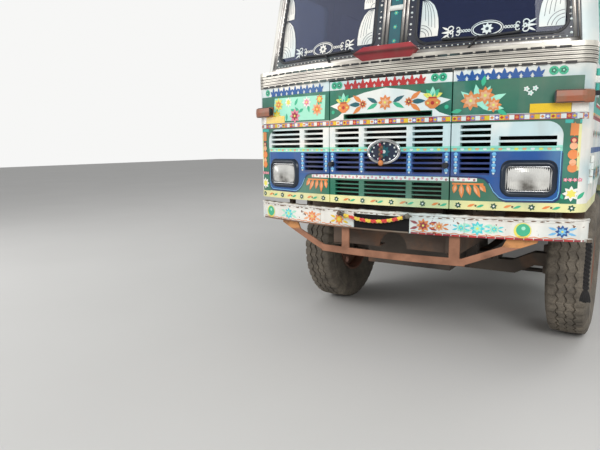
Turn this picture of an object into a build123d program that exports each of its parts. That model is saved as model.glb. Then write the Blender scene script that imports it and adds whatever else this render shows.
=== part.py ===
from build123d import *
import os
from math import cos, pi, radians, sin, sqrt, tan

# Decorated forward-control haulage truck, millimetres.
# The truck faces -Y, +X is its left side, Z is up and the ground is z = 0.
# While it is modelled, y = 0 is the centre of the cab's front face.

# Driving dimensions of the cab
CAB_HALF_WIDTH = 1090
CAB_REAR_Y = 1850
FACE_RADIUS = 3610
CORNER_RADIUS = 100
WALL = 40
FACE_BOTTOM_Z = 1028
FLAP_TOP_Z = 1811
LEDGE_Z = 1897
LEDGE_TOP_Z = 1923
CANT_RAIL_Z = 2760
ROOF_TOP_Z = 2880
CROWN_TOP_Z = 3130
SCREEN_FRONT_Y = 100
RAKE_PER_RISE = 0.180
TUMBLEHOME_PER_RISE = 0.102
PANEL_GAP = 8
FLAP_HALF_WIDTH = 400
DOOR_FRONT_Y = 280
FACE_SEAM_Y = DOOR_FRONT_Y
DOOR_REAR_Y = 1140
PILLAR_FOOT_Y = 350
PILLAR_HEAD_Y = 478
DOOR_REAR_GAP = 15
DOOR_TOP_Z = 2640
FLOOR_Z = 1200
FLOOR_THICKNESS = 40

# Driving dimensions of the chassis
FRONT_AXLE_Y = 1300
WHEELBASE = 4225
REAR_AXLE_Y = FRONT_AXLE_Y + WHEELBASE
FRONT_TRACK = 1930
REAR_TRACK = 1810
TWIN_SPACING = 310
TYRE_RADIUS = 526
TYRE_HALF_WIDTH = 139
RIM_SEAT_RADIUS = 262
KINGPIN_X = 800
FRAME_HALF_WIDTH = 425
FRAME_TOP_Z = 950
FRAME_DEPTH = 223
FRAME_FRONT_Y = 130
FRAME_REAR_Y = 7150
RAIL_FLANGE = 65
RAIL_THICKNESS = 8
CROSSMEMBER_Y = (200, 2250, 2950, 3600, 4300, 4950, 6080, 6800, 7100)
CAB_BEARER_Y = (330, 1760)
SHAFT_START = (2050, 770)
SHAFT_MIDDLE = (3600, 740)
SHAFT_END = (REAR_AXLE_Y - 360, TYRE_RADIUS)
SHAFT_HOLE_RADIUS = 95
ARCH_RADIUS = 660

# Driving dimensions of the load body
BODY_FRONT_Y = 1990
BODY_HALF_WIDTH = 1220
DECK_REAR_Y = 7300
DECK_Z = 1250
SIDE_TOP_Z = 2400
HEADBOARD_TOP_Z = 2740
SIDE_THICKNESS = 50
GATE_HALF_WIDTH = BODY_HALF_WIDTH - SIDE_THICKNESS - 12
GATE_HINGE = (7370, 1262)

# Bumper
BUMPER_FRONT_Y = 5
BUMPER_RADIUS = 3215
BUMPER_BOTTOM_Z = 864
BUMPER_TOP_Z = 979
BUMPER_HALF_WIDTH = 1110
BUMPER_DEPTH = 60

SHAFT_CLEARANCE = 0.05
FAR = 5000

nodes = {}


def block(x0, x1, y0, y1, z0, z1):
    """Box between two corners."""
    return Pos((x0 + x1) / 2, (y0 + y1) / 2, (z0 + z1) / 2) * Box(x1 - x0, y1 - y0, z1 - z0)


def fuse(pieces):
    """One shape from a list of shapes."""
    whole = pieces[0]
    for piece in pieces[1:]:
        whole = whole + piece
    return whole


def apart(pieces):
    """Solids that share a node without touching."""
    return Compound(children=[solid for piece in pieces for solid in piece.solids()])


def mirrored(shape):
    """The same shape on the other side of the truck."""
    return mirror(shape, about=Plane.YZ)


def cylinder_x(radius, x0, x1, y, z):
    return Pos((x0 + x1) / 2, y, z) * Rot(0, 90, 0) * Cylinder(radius, abs(x1 - x0))


def cylinder_y(radius, y0, y1, x, z):
    return Pos(x, (y0 + y1) / 2, z) * Rot(90, 0, 0) * Cylinder(radius, abs(y1 - y0))


def cylinder_z(radius, z0, z1, x, y):
    return Pos(x, y, (z0 + z1) / 2) * Cylinder(radius, abs(z1 - z0))


def bevelled(shape, size):
    """The shape with its round edges bevelled."""
    return chamfer(shape.edges().filter_by(GeomType.CIRCLE), size)


def front_outline(points, y0, y1, rounding=0):
    """Prism along Y from an outline in X and Z."""
    face = make_face(Polyline(*points, close=True).edges())
    if rounding:
        face = fillet(face.vertices(), rounding)
    return Pos(0, y1, 0) * extrude(Plane.XZ * face, amount=y1 - y0)


def side_outline(points, x0, x1, rounding=0):
    """Prism along X from an outline in Y and Z."""
    face = make_face(Polyline(*points, close=True).edges())
    if rounding:
        face = fillet(face.vertices(), rounding)
    return Pos(x0, 0, 0) * extrude(Plane.YZ * face, amount=x1 - x0)


def rectangle(a0, a1, b0, b1):
    """Corner points of an upright rectangle."""
    return [(a0, b0), (a1, b0), (a1, b1), (a0, b1)]


# Cab shells

def cab_plan(half_width, front_y, rear_y, face_radius, corner):
    """Plan of the cab: a wide front arc, two rounded corners, straight sides."""
    side_y = front_y + face_radius - sqrt(face_radius**2 - half_width**2)
    front = ThreePointArc((-half_width, side_y), (0, front_y), (half_width, side_y))
    rear = Polyline((half_width, side_y), (half_width, rear_y), (-half_width, rear_y), (-half_width, side_y))
    face = make_face([*front.edges(), *rear.edges()])
    return fillet(face.vertices().sort_by(Axis.Y)[:2], corner)


def upright_shell(z0, z1, inset=0):
    """Vertical lower part of the cab, drawn in by an inset."""
    rear_y = CAB_REAR_Y - inset
    plan = cab_plan(CAB_HALF_WIDTH - inset, inset, rear_y, FACE_RADIUS - inset, CORNER_RADIUS - inset)
    return extrude(Pos(0, 0, z0) * plan, amount=z1 - z0)


def leaning_plan(z, inset=0):
    """Plan of the window zone at a height: it leans back and in as it rises."""
    rise = z - LEDGE_TOP_Z
    half_width = CAB_HALF_WIDTH - TUMBLEHOME_PER_RISE * rise - inset
    front_y = SCREEN_FRONT_Y + RAKE_PER_RISE * rise + inset
    plan = cab_plan(half_width, front_y, CAB_REAR_Y - inset, FACE_RADIUS - inset, CORNER_RADIUS - inset)
    return Pos(0, 0, z) * plan


def leaning_shell(z0, z1, inset=0):
    return loft([leaning_plan(z0, inset), leaning_plan(z1, inset)], ruled=True)


def hollow_shell(shell, z0, z1, outer, inner):
    """Wall between two insets of a shell, between two heights."""
    return shell(z0, z1, outer) - shell(z0 - 1, z1 + 1, inner)


lower_wall = hollow_shell(upright_shell, FACE_BOTTOM_Z, LEDGE_TOP_Z, 0, WALL)
upper_wall = hollow_shell(leaning_shell, LEDGE_TOP_Z, CANT_RAIL_Z, 0, WALL)
wheel_arch = cylinder_x(ARCH_RADIUS, -FAR, FAR, FRONT_AXLE_Y, TYRE_RADIUS)


# Front face

def front_panel(x0, x1, z0, z1):
    """Piece of the front face between two upright edges."""
    return lower_wall & block(x0, x1, -FAR, FACE_SEAM_Y, z0, z1)


LAMP_X = 812
LAMP_Z = 1207
LAMP_SIZE = (288, 207)
LAMP_ROUNDING = 48
LENS_SIZE = (226, 136)
LENS_ROUNDING = 22
LAMP_TURN = 13
LAMP_Y = LAMP_X**2 / (2 * FACE_RADIUS)


def lamp_block(size, rounding, y0, y1):
    """Rounded block that faces as the panel does at the headlamp."""
    width, height = size
    outline = rectangle(-width / 2, width / 2, -height / 2, height / 2)
    return Pos(LAMP_X, LAMP_Y, LAMP_Z) * Rot(0, 0, LAMP_TURN) * front_outline(outline, y0, y1, rounding)


# Slots of the face: columns (x from, x to), rows (lowest z, slot height)
CENTRE_SLOT = (-140, 140)
INNER_SLOT = (176, 355)
MIDDLE_SLOT = (451, 614)
OUTER_SLOT = (655, 940)
GRILLE_ROWS = ((1387, 21), (1420, 21), (1453, 21), (1486, 21))
LOUVRE_ROWS = ((1236, 20), (1267, 20), (1298, 20), (1329, 20))
LOWER_ROWS = ((1080, 19), (1106, 19), (1132, 19), (1158, 19))
LONG_SLOT = (-285, 285, 1568, 1593)
GRILLE_PANEL_Z = (1378, 1518)
GRILLE_PANEL_X = 968
GRILLE_PANEL_HEIGHT = 5
GRILLE_PANEL_ROUNDING = 80


def raised(x0, x1, z0, z1, height):
    """Pad that stands out of the face by a height."""
    pad = upright_shell(z0, z1, -height) - upright_shell(z0 - 1, z1 + 1)
    return pad & block(x0, x1, -FAR, FACE_SEAM_Y, z0, z1)


def grille_panel(x0, x1):
    """Raised panel round the upper slots, up to an edge x1."""
    return raised(x0, x1, *GRILLE_PANEL_Z, GRILLE_PANEL_HEIGHT)


def rounded_corner(x1, z1, radius):
    """Zone under and inside a rounded upper left corner of the face."""
    face = make_face(Polyline(*rectangle(-FAR, x1, -FAR, z1), close=True).edges())
    corner = face.vertices().sort_by(lambda vertex: vertex.X + vertex.Y)[-1]
    return Pos(0, FACE_SEAM_Y, 0) * extrude(Plane.XZ * fillet(corner, radius), amount=FAR)


def slots(column, rows):
    """Slots of one column through the face."""
    x0, x1 = column
    return [block(x0, x1, -FAR, FACE_SEAM_Y, z, z + height) for z, height in rows]


def cut(shape, tools):
    for tool in tools:
        shape = shape - tool
    return shape


def reflected(column):
    """The same column on the other side of the truck."""
    return (-column[1], -column[0])


BADGE_Z = 1360
BADGE_SIZE = (110, 76)
BADGE_RIM = 18
BADGE_SEAT_Y = 3
BADGE_PLATE_DEPTH = 9
BADGE_RIM_DEPTH = 18
KNOB_PLACE = (376, 1280)
KNOB_RADIUS = 12
KNOB_Y = (-14, 25)


def flap():
    """Centre flap with its grille slots, a bare oval badge plate and two lock knobs."""
    edge = FLAP_HALF_WIDTH - PANEL_GAP / 2
    panel = front_panel(-edge, edge, FACE_BOTTOM_Z, FLAP_TOP_Z - PANEL_GAP)
    panel = panel + grille_panel(-edge, edge)
    panel = panel - front_outline(rectangle(*LONG_SLOT), -FAR, FACE_SEAM_Y, rounding=12)
    for column in (CENTRE_SLOT, INNER_SLOT, reflected(INNER_SLOT)):
        for rows in (GRILLE_ROWS, LOUVRE_ROWS, LOWER_ROWS):
            panel = cut(panel, slots(column, rows))
    width, height = BADGE_SIZE
    middle = Ellipse(width - BADGE_RIM, height - BADGE_RIM)
    ring = Ellipse(width, height) - middle
    plate = Pos(0, BADGE_SEAT_Y, BADGE_Z) * extrude(Plane.XZ * middle, amount=BADGE_PLATE_DEPTH)
    rim = Pos(0, BADGE_SEAT_Y, BADGE_Z) * extrude(Plane.XZ * ring, amount=BADGE_RIM_DEPTH)
    knob_x, knob_z = KNOB_PLACE
    knobs = [cylinder_y(KNOB_RADIUS, *KNOB_Y, side * knob_x, knob_z) for side in (-1, 1)]
    return fuse([panel, plate, rim] + knobs)


def cowl(columns):
    """Left corner panel, round to the door: (column, rows) pairs give its slots."""
    edge = FLAP_HALF_WIDTH + PANEL_GAP / 2
    panel = front_panel(edge, FAR, FACE_BOTTOM_Z, FLAP_TOP_Z)
    panel = panel - lamp_block(LAMP_SIZE, LAMP_ROUNDING, -100, 100)
    pad = grille_panel(edge, GRILLE_PANEL_X)
    panel = panel + (pad & rounded_corner(GRILLE_PANEL_X, GRILLE_PANEL_Z[1], GRILLE_PANEL_ROUNDING))
    for column, rows in columns:
        panel = cut(panel, slots(column, rows))
    return fuse([panel] + hinge_barrels(0))


HINGE_X = 1100
HINGE_Y = 283
HINGE_RADIUS = 9
HINGE_HEIGHTS = (1180, 1640)
BARREL_LENGTH = 34
BARREL_PITCH = 39
# Leaf of a hinge along Y from its pin (from, to), on the panel and on the door
HINGE_LEAVES = ((-30, 0), (0, 60))


def hinge_barrels(part):
    """Barrels of the left door's hinges: part 0 on the panel, part 1 on the door."""
    pieces = []
    for z in HINGE_HEIGHTS:
        for step in (0, 2):
            z0 = z + (step + part) * BARREL_PITCH
            barrel = cylinder_z(HINGE_RADIUS, z0, z0 + BARREL_LENGTH, HINGE_X, HINGE_Y)
            y0, y1 = [HINGE_Y + reach for reach in HINGE_LEAVES[part]]
            leaf = block(CAB_HALF_WIDTH - 3, CAB_HALF_WIDTH + 6, y0, y1, z0, z0 + BARREL_LENGTH)
            pieces.append(barrel + leaf)
    return pieces


FLUTE_ROWS = (1817, 1837, 1857, 1877)
FLUTE_HEIGHT = 14
FLUTE_DEPTH = 6


def band_and_ledge():
    """Fluted band under the windscreen with the shelf above it."""
    band = front_panel(-FAR, FAR, FLAP_TOP_Z, LEDGE_Z)
    flutes = [raised(-FAR, FAR, z, z + FLUTE_HEIGHT, FLUTE_DEPTH) for z in FLUTE_ROWS]
    front_zone = block(-FAR, FAR, -FAR, FACE_SEAM_Y, LEDGE_Z, LEDGE_TOP_Z)
    shelf = upright_shell(LEDGE_Z, LEDGE_TOP_Z, -FLUTE_DEPTH) & front_zone
    room = cab_plan(CAB_HALF_WIDTH - WALL, 0, CAB_REAR_Y, FACE_RADIUS, CORNER_RADIUS - WALL)
    shelf = shelf - Pos(0, SCREEN_FRONT_Y + WALL, LEDGE_Z - 1) * extrude(room, amount=FAR)
    return fuse([band, shelf] + flutes)


ORNAMENT_HALF_WIDTH = 200
ORNAMENT_Z = (1905, 1948, 1992)
ORNAMENT_DEPTH = 48
ORNAMENT_POINT = 50
ORNAMENT_REAR_Y = 20


def ornament():
    """Folded six-sided board that stands on the ledge, its fold level along the middle."""
    low, middle, high = ORNAMENT_Z
    w = ORNAMENT_HALF_WIDTH
    s = w - ORNAMENT_POINT
    rear = ORNAMENT_REAR_Y
    board = front_outline([(-w, middle), (-s, high), (s, high), (w, middle), (s, low), (-s, low)], -FAR, FAR)
    fold = side_outline([(rear, low), (0, low), (-ORNAMENT_DEPTH, middle), (0, high), (rear, high)], -w, w)
    return (board & fold) - band_and_ledge() - upright_shell(FLAP_TOP_Z, LEDGE_TOP_Z)


def front_face():
    all_rows = ((MIDDLE_SLOT, GRILLE_ROWS), (MIDDLE_SLOT, LOUVRE_ROWS))
    left = cowl(all_rows + ((OUTER_SLOT, GRILLE_ROWS[:2]),))
    right = cowl(all_rows + ((OUTER_SLOT, GRILLE_ROWS),))
    nodes["cowl_left"] = left
    nodes["cowl_right"] = mirrored(right)
    nodes["front_flap"] = flap()
    nodes["face_band"] = band_and_ledge()
    nodes["ledge_ornament"] = ornament()


LAMP_UNIT_Y = (4, 70)
LENS_Y = (-6, 5)
MARKER = (920, 1066, 1610, 1675)
MARKER_HEIGHT = 40
MARKER_ROUNDING = 18


def headlamp():
    """Rectangular lamp unit with rounded corners, set in the left panel."""
    unit = lamp_block(LAMP_SIZE, LAMP_ROUNDING, *LAMP_UNIT_Y)
    return unit + lamp_block(LENS_SIZE, LENS_ROUNDING, *LENS_Y)


def marker_lamp():
    """Curved side lamp near the corner, above the headlamp."""
    x0, x1, z0, z1 = MARKER
    outline = front_outline(rectangle(*MARKER), -FAR, FACE_SEAM_Y, MARKER_ROUNDING)
    return raised(x0, x1, z0, z1, MARKER_HEIGHT) & outline


front_face()


# Window zone

PANE_INNER_X = 140
PANE_OUTER_X = 945
PANE_SILL_Z = 1998
PANE_TOP_Z = 2650
PANE_ROUNDING = 70


def pane_opening():
    """Windscreen opening of the left half, leaning with the cab's side."""
    top_x = PANE_OUTER_X - TUMBLEHOME_PER_RISE * (PANE_TOP_Z - PANE_SILL_Z)
    points = [
        (PANE_INNER_X, PANE_SILL_Z),
        (PANE_OUTER_X, PANE_SILL_Z),
        (top_x, PANE_TOP_Z),
        (PANE_INNER_X, PANE_TOP_Z),
    ]
    return front_outline(points, -FAR, PILLAR_HEAD_Y, PANE_ROUNDING)


GLASS_INSETS = (17, 23)
WINDOW_SILL_Z = 1960
WINDOW_TOP_Z = 2560
WINDOW_ROUNDING = 60
# Front edge of the door window at its sill and at its top, then its rear edge
DOOR_WINDOW_Y = (425, 515, 1050)
QUARTER_WINDOW_Y = (1260, 1700)
QUARTER_SILL_Z = 2020
REAR_WINDOW = (-420, 420, 2050, 2500)
LEFT_SIDE = (700, 1300)


def door_window():
    foot, head, rear = DOOR_WINDOW_Y
    points = [(foot, WINDOW_SILL_Z), (rear, WINDOW_SILL_Z), (rear, WINDOW_TOP_Z), (head, WINDOW_TOP_Z)]
    return side_outline(points, *LEFT_SIDE, WINDOW_ROUNDING)


def quarter_window():
    return side_outline(rectangle(*QUARTER_WINDOW_Y, QUARTER_SILL_Z, WINDOW_TOP_Z), *LEFT_SIDE, WINDOW_ROUNDING)


def rear_window():
    return front_outline(rectangle(*REAR_WINDOW), CAB_REAR_Y - WALL - 10, CAB_REAR_Y + 10, WINDOW_ROUNDING)


def pillar_edge(gap):
    """Leaning rear edge of the windscreen frame in side view, moved back by a gap."""
    return [(PILLAR_FOOT_Y + gap, LEDGE_TOP_Z), (PILLAR_HEAD_Y + gap, CANT_RAIL_Z)]


def door_outline(gap, rear_gap):
    """Door in side view: upright to the waist, leaning back with the pillar above it."""
    foot, head = pillar_edge(gap)
    lean = (head[0] - foot[0]) / (head[1] - foot[1])
    top_z = DOOR_TOP_Z - gap
    top_front_y = foot[0] + lean * (top_z - foot[1])
    points = [
        (DOOR_FRONT_Y + gap, FACE_BOTTOM_Z - 1),
        (DOOR_FRONT_Y + gap, LEDGE_TOP_Z - gap),
        (foot[0], LEDGE_TOP_Z - gap),
        (top_front_y, top_z),
        (DOOR_REAR_Y - rear_gap, top_z),
        (DOOR_REAR_Y - rear_gap, FACE_BOTTOM_Z - 1),
    ]
    return side_outline(points, *LEFT_SIDE)


HANDLE_Y = (1000, 1090)
HANDLE_Z = (1690, 1715)
HANDLE_HEIGHT = 25


def cab_walls():
    whole = lower_wall + upper_wall
    foot, head = pillar_edge(0)
    screen_zone = side_outline([(-900, LEDGE_TOP_Z), foot, head, (-900, CANT_RAIL_Z)], -1200, 1200)
    panes = pane_opening() + mirrored(pane_opening())
    nodes["windscreen_frame"] = (upper_wall & screen_zone) - panes
    side_zone = block(0, FAR, FACE_SEAM_Y, CAB_REAR_Y - WALL, FACE_BOTTOM_Z, CANT_RAIL_Z)
    side = (whole & side_zone) - screen_zone - door_outline(0, 0) - wheel_arch - quarter_window()
    nodes["cab_sides"] = apart([side, mirrored(side)])
    rear_zone = block(-FAR, FAR, CAB_REAR_Y - WALL, FAR, FACE_BOTTOM_Z, CANT_RAIL_Z)
    nodes["cab_rear"] = (whole & rear_zone) - rear_window()
    door = (whole & (door_outline(PANEL_GAP, DOOR_REAR_GAP) & block(0, FAR, 0, FAR, 0, FAR)))
    handle = block(CAB_HALF_WIDTH - 5, CAB_HALF_WIDTH + HANDLE_HEIGHT, *HANDLE_Y, *HANDLE_Z)
    door = fuse([door - wheel_arch - door_window(), handle] + hinge_barrels(1))
    nodes["door_left"] = door
    nodes["door_right"] = mirrored(door)
    glass = hollow_shell(leaning_shell, LEDGE_TOP_Z, CANT_RAIL_Z, *GLASS_INSETS)
    quarter = glass & quarter_window()
    screens = glass & panes & screen_zone
    nodes["cab_glass"] = apart([screens, quarter, mirrored(quarter), glass & rear_window()])
    door_glass = glass & door_window()
    nodes["door_glass_left"] = door_glass
    nodes["door_glass_right"] = mirrored(door_glass)


cab_walls()


# Roof, forehead and visor

ROOF_CREST_INSET = 260
ROOF_CREST_Y = (420, 1690)
ROOF_CREST_CORNER = 90
ROOF_THICKNESS = 60
CROWN_FRONT_Y = 215
CROWN_DEPTH = 150
CROWN_REAR_Y = 900
CROWN_HALF_WIDTH = 960
CROWN_SHOULDER = (930, 2900)
VISOR_HALF_WIDTH = 985
VISOR_Y = (70, 480)
VISOR_THICKNESS = 24


def roof_solid():
    """Outer form of the roof without its hollow."""
    front_y, rear_y = ROOF_CREST_Y
    crest = cab_plan(CAB_HALF_WIDTH - ROOF_CREST_INSET, front_y, rear_y, FACE_RADIUS, ROOF_CREST_CORNER)
    return loft([leaning_plan(CANT_RAIL_Z), Pos(0, 0, ROOF_TOP_Z) * crest], ruled=True)


def roof():
    """Roof pan, hollow below."""
    front_y, rear_y = ROOF_CREST_Y
    half_width = CAB_HALF_WIDTH - ROOF_CREST_INSET - ROOF_THICKNESS
    crest = cab_plan(half_width, front_y + ROOF_THICKNESS, rear_y - ROOF_THICKNESS, FACE_RADIUS, 60)
    inside = loft([leaning_plan(CANT_RAIL_Z, WALL), Pos(0, 0, ROOF_TOP_Z - WALL) * crest], ruled=True)
    return roof_solid() - inside


def curved_depth(front_y, half_width):
    """Tall solid behind a front that curves as the face does."""
    plan = cab_plan(half_width, front_y, CAB_REAR_Y, FACE_RADIUS, 60)
    return Pos(0, 0, CANT_RAIL_Z - 2) * extrude(plan, amount=FAR)


def crown():
    """Domed forehead board on the roof's front, with the sun visor under it."""
    shoulder_x, shoulder_z = CROWN_SHOULDER
    foot = (CROWN_HALF_WIDTH, CANT_RAIL_Z)
    left_foot = (-CROWN_HALF_WIDTH, CANT_RAIL_Z)
    base = Polyline((-shoulder_x, shoulder_z), left_foot, foot, (shoulder_x, shoulder_z))
    arch = ThreePointArc((shoulder_x, shoulder_z), (0, CROWN_TOP_Z), (-shoulder_x, shoulder_z))
    face = make_face([*base.edges(), *arch.edges()])
    board = Pos(0, CROWN_REAR_Y, 0) * extrude(Plane.XZ * face, amount=CROWN_REAR_Y)
    board = board & curved_depth(CROWN_FRONT_Y, CROWN_HALF_WIDTH + 40)
    board = board - curved_depth(CROWN_FRONT_Y + CROWN_DEPTH, CROWN_HALF_WIDTH + 140)
    front_y, rear_y = VISOR_Y
    visor = extrude(cab_plan(VISOR_HALF_WIDTH, front_y, CAB_REAR_Y, FACE_RADIUS, 80), amount=VISOR_THICKNESS)
    visor = Pos(0, 0, CANT_RAIL_Z - VISOR_THICKNESS) * visor
    visor = visor & block(-FAR, FAR, -FAR, rear_y, 0, FAR)
    return board + visor - roof_solid() - leaning_shell(LEDGE_TOP_Z, CANT_RAIL_Z)


nodes["roof"] = roof()
nodes["crown"] = crown()


# Cab inside

COVER_HALF_WIDTH = 350
COVER_WALL = 20
COVER_Y = (185, 1520)
COVER_TOP_Z = 1470
COVER_ROUNDING = 60
SEAT_Z = 1480
# Seats: from x, to x
SEATS = ((-900, -390), (390, 1000))
SEAT_BOX_Y = (880, 1400)


def cab_floor():
    """Floor pan with the rounded cover over the engine and the two seat boxes."""
    pan = upright_shell(FLOOR_Z - FLOOR_THICKNESS, FLOOR_Z, WALL)
    door_notch = block(CAB_HALF_WIDTH - WALL - 10, FAR, DOOR_FRONT_Y - 5, DOOR_REAR_Y + 5, 0, FAR)
    cover_front_y, cover_rear_y = COVER_Y
    pan = pan - door_notch - mirrored(door_notch) - block(-FAR, FAR, -FAR, cover_front_y + COVER_WALL, 0, FAR)
    cover = block(-COVER_HALF_WIDTH, COVER_HALF_WIDTH, *COVER_Y, FLOOR_Z - FLOOR_THICKNESS, COVER_TOP_Z)
    cover = fillet(cover.edges().filter_by(Axis.Y).group_by(Axis.Z)[-1], COVER_ROUNDING)
    inside_x = COVER_HALF_WIDTH - COVER_WALL
    inside = block(-inside_x, inside_x, -FAR, cover_rear_y - COVER_WALL, 0, COVER_TOP_Z - COVER_WALL)
    seat_boxes = [block(x0 + 20, x1 - 20, *SEAT_BOX_Y, FLOOR_Z - 5, SEAT_Z) for x0, x1 in SEATS]
    return fuse([pan, cover] + seat_boxes) - inside


# Dashboard in side view: (y, z)
DASH_PROFILE = ((256, 1780), (430, 1740), (430, 1560), (300, 1500), (256, 1500))
DASH_HALF_WIDTH = 1040


def dashboard():
    """Plain shelf across the cab under the windscreen."""
    return side_outline(DASH_PROFILE, -DASH_HALF_WIDTH, DASH_HALF_WIDTH)


WHEEL_CENTRE = (-560, 590, 1800)
WHEEL_LEAN = -28
WHEEL_RADII = (212, 239)
WHEEL_RIM_HEIGHT = 26
SPOKE_WIDTH = 30
COLUMN_RADIUS = 24
COLUMN_LENGTH = 610


def steering_wheel():
    """Large near-flat wheel on a steep column, on the driver's side."""
    inner, outer = WHEEL_RADII
    rim = bevelled(Cylinder(outer, WHEEL_RIM_HEIGHT) - Cylinder(inner, 2 * WHEEL_RIM_HEIGHT), 8)
    spokes = Box(2 * inner + 6, SPOKE_WIDTH, 14) + Box(SPOKE_WIDTH, 2 * inner + 6, 14)
    hub = Pos(0, 0, -8) * Cylinder(45, 40)
    column = Pos(0, 0, -COLUMN_LENGTH / 2 - 13) * Cylinder(COLUMN_RADIUS, COLUMN_LENGTH)
    return Pos(*WHEEL_CENTRE) * Rot(WHEEL_LEAN, 0, 0) * (rim + spokes + hub + column)


nodes["cab_floor"] = cab_floor()
nodes["dashboard"] = dashboard()
nodes["steering_wheel"] = steering_wheel()


CUSHION_Y = (850, 1380)
CUSHION_HEIGHT = 120
BACK_Y = (1370, 1490)
BACK_HEIGHT = 600
SEAT_ROUNDING = 30


def seat(x0, x1):
    """Cushion and back of one seat."""
    cushion = block(x0, x1, *CUSHION_Y, SEAT_Z, SEAT_Z + CUSHION_HEIGHT)
    back = block(x0, x1, *BACK_Y, SEAT_Z, SEAT_Z + BACK_HEIGHT)
    rounded = [fillet(piece.edges().filter_by(Axis.X), SEAT_ROUNDING) for piece in (cushion, back)]
    return fuse(rounded)


nodes["seats"] = apart([seat(x0, x1) for x0, x1 in SEATS])


# Engine, gearbox and radiator

ENGINE_HALF_WIDTH = 300
ENGINE_Y = (420, 1470)
ENGINE_Z = (560, 1400)
MOUNT_Y = (560, 1320)
MOUNT_LENGTH = 60
MOUNT_Z = (780, 850)
# Radii of the gearbox at its front and its rear end
GEARBOX_RADII = (190, 105)
RADIATOR_HALF_WIDTH = 320
RADIATOR_Y = (165, 235)
RADIATOR_Z = (975, 1430)


def circle_across(y, radius):
    """Circle across the truck round the shaft's front end."""
    return Plane(origin=(0, y, SHAFT_START[1]), x_dir=(1, 0, 0), z_dir=(0, 1, 0)) * Circle(radius)


def engine():
    """Plain block of the engine on its four mounts, with the tapered gearbox behind it."""
    web_x = FRAME_HALF_WIDTH - RAIL_THICKNESS
    front_radius, rear_radius = GEARBOX_RADII
    pieces = [block(-ENGINE_HALF_WIDTH, ENGINE_HALF_WIDTH, *ENGINE_Y, *ENGINE_Z)]
    pieces += [block(-web_x, web_x, y, y + MOUNT_LENGTH, *MOUNT_Z) for y in MOUNT_Y]
    ends = [circle_across(ENGINE_Y[1], front_radius), circle_across(SHAFT_START[0], rear_radius)]
    return fuse(pieces + [loft(ends, ruled=True)])


def radiator():
    """Core with its tanks, on a sill across the rails."""
    core = block(-RADIATOR_HALF_WIDTH, RADIATOR_HALF_WIDTH, *RADIATOR_Y, *RADIATOR_Z)
    sill = block(-FRAME_HALF_WIDTH, FRAME_HALF_WIDTH, *RADIATOR_Y, FRAME_TOP_Z, RADIATOR_Z[0])
    return core + sill


nodes["engine"] = engine()
nodes["radiator"] = radiator()


# Chassis frame

def rail():
    """Channel rail, its open side towards the middle."""
    x1 = FRAME_HALF_WIDTH
    z0 = FRAME_TOP_Z - FRAME_DEPTH
    z1 = FRAME_TOP_Z
    solid = block(x1 - RAIL_FLANGE, x1, FRAME_FRONT_Y, FRAME_REAR_Y, z0, z1)
    hollow = block(x1 - RAIL_FLANGE - 1, x1 - RAIL_THICKNESS, FRAME_FRONT_Y - 1, FRAME_REAR_Y + 1,
                   z0 + RAIL_THICKNESS, z1 - RAIL_THICKNESS)
    return solid - hollow


MEMBER_HALF_WIDTH = 45
CAB_BEARER_HALF_LENGTH = 470
CAB_BEARER_HALF_WIDTH = 35


def crossmember(y):
    """Channel between the rail webs, its open side to the rear."""
    x1 = FRAME_HALF_WIDTH - RAIL_THICKNESS
    z0 = FRAME_TOP_Z - FRAME_DEPTH + RAIL_THICKNESS
    z1 = FRAME_TOP_Z - RAIL_THICKNESS
    front_y = y - MEMBER_HALF_WIDTH
    rear_y = y + MEMBER_HALF_WIDTH
    outer = block(-x1, x1, front_y, rear_y, z0, z1)
    hollow = block(-x1 - 1, x1 + 1, front_y + RAIL_THICKNESS, rear_y + 1, z0 + RAIL_THICKNESS, z1 - RAIL_THICKNESS)
    shaft_hole = cylinder_y(SHAFT_HOLE_RADIUS, front_y - 1, rear_y + 1, 0, SHAFT_MIDDLE[1])
    return outer - hollow - shaft_hole


def cab_bearer(y):
    """Beam across the rails that carries the cab floor."""
    x1 = CAB_BEARER_HALF_LENGTH
    y0 = y - CAB_BEARER_HALF_WIDTH
    return block(-x1, x1, y0, y0 + 2 * CAB_BEARER_HALF_WIDTH, FRAME_TOP_Z, FLOOR_Z - FLOOR_THICKNESS)


nodes["frame_rails"] = apart([rail(), mirrored(rail())])
nodes["crossmembers"] = apart([crossmember(y) for y in CROSSMEMBER_Y])
nodes["cab_bearers"] = apart([cab_bearer(y) for y in CAB_BEARER_Y])


# Bumper and lower guard

def outline_face(points):
    return make_face(Polyline(*points, close=True).edges())


def bumper_plan(inset, rear_y, corner):
    """Plan of the bumper's curve, moved in by an inset."""
    half_width = BUMPER_HALF_WIDTH - inset
    return extrude(cab_plan(half_width, BUMPER_FRONT_Y + inset, rear_y, BUMPER_RADIUS - inset, corner), amount=FAR)


def bumper_band(outline, inset, depth):
    """Outline in front view, cut to a band that follows the bumper's curve."""
    board = Pos(0, 500, 0) * extrude(Plane.XZ * outline, amount=700)
    return (board & bumper_plan(inset, 900, 70)) - bumper_plan(inset + depth, 950, 20)


BUMPER_REAR_Y = 290
BUMPER_RECESS_X = (-220, 164)
BUMPER_RECESS_DEPTH = 10
BUMPER_JOINT_X = (-487, 487)
BUMPER_GROOVE = (4, 9)
BUMPER_LIP_Z = 965
BUMPER_LIP_HEIGHT = 4
IRON_X = (-390, 390)
IRON_HALF_WIDTH = 32
IRON_Z = (868, 946)
IRON_PLATE_Z = (740, 946)
IRON_PLATE_THICKNESS = 12

# The garland's route: x, z; it hangs before the bumper's curve
GARLAND_ROUTE = ((-312, 957), (-230, 921), (-130, 905), (-40, 904), (60, 925), (150, 968))
GARLAND_DIAMETER = 25
GARLAND_PROUD = 14
TIE_RADIUS = 16
TIE_LENGTH = 18

# The hanging braid's route: x, y, z
BRAID_ROUTE = ((1118, 205, 864), (1122, 204, 790), (1117, 203, 700), (1119, 205, 620))
BRAID_DIAMETER = 34


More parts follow.
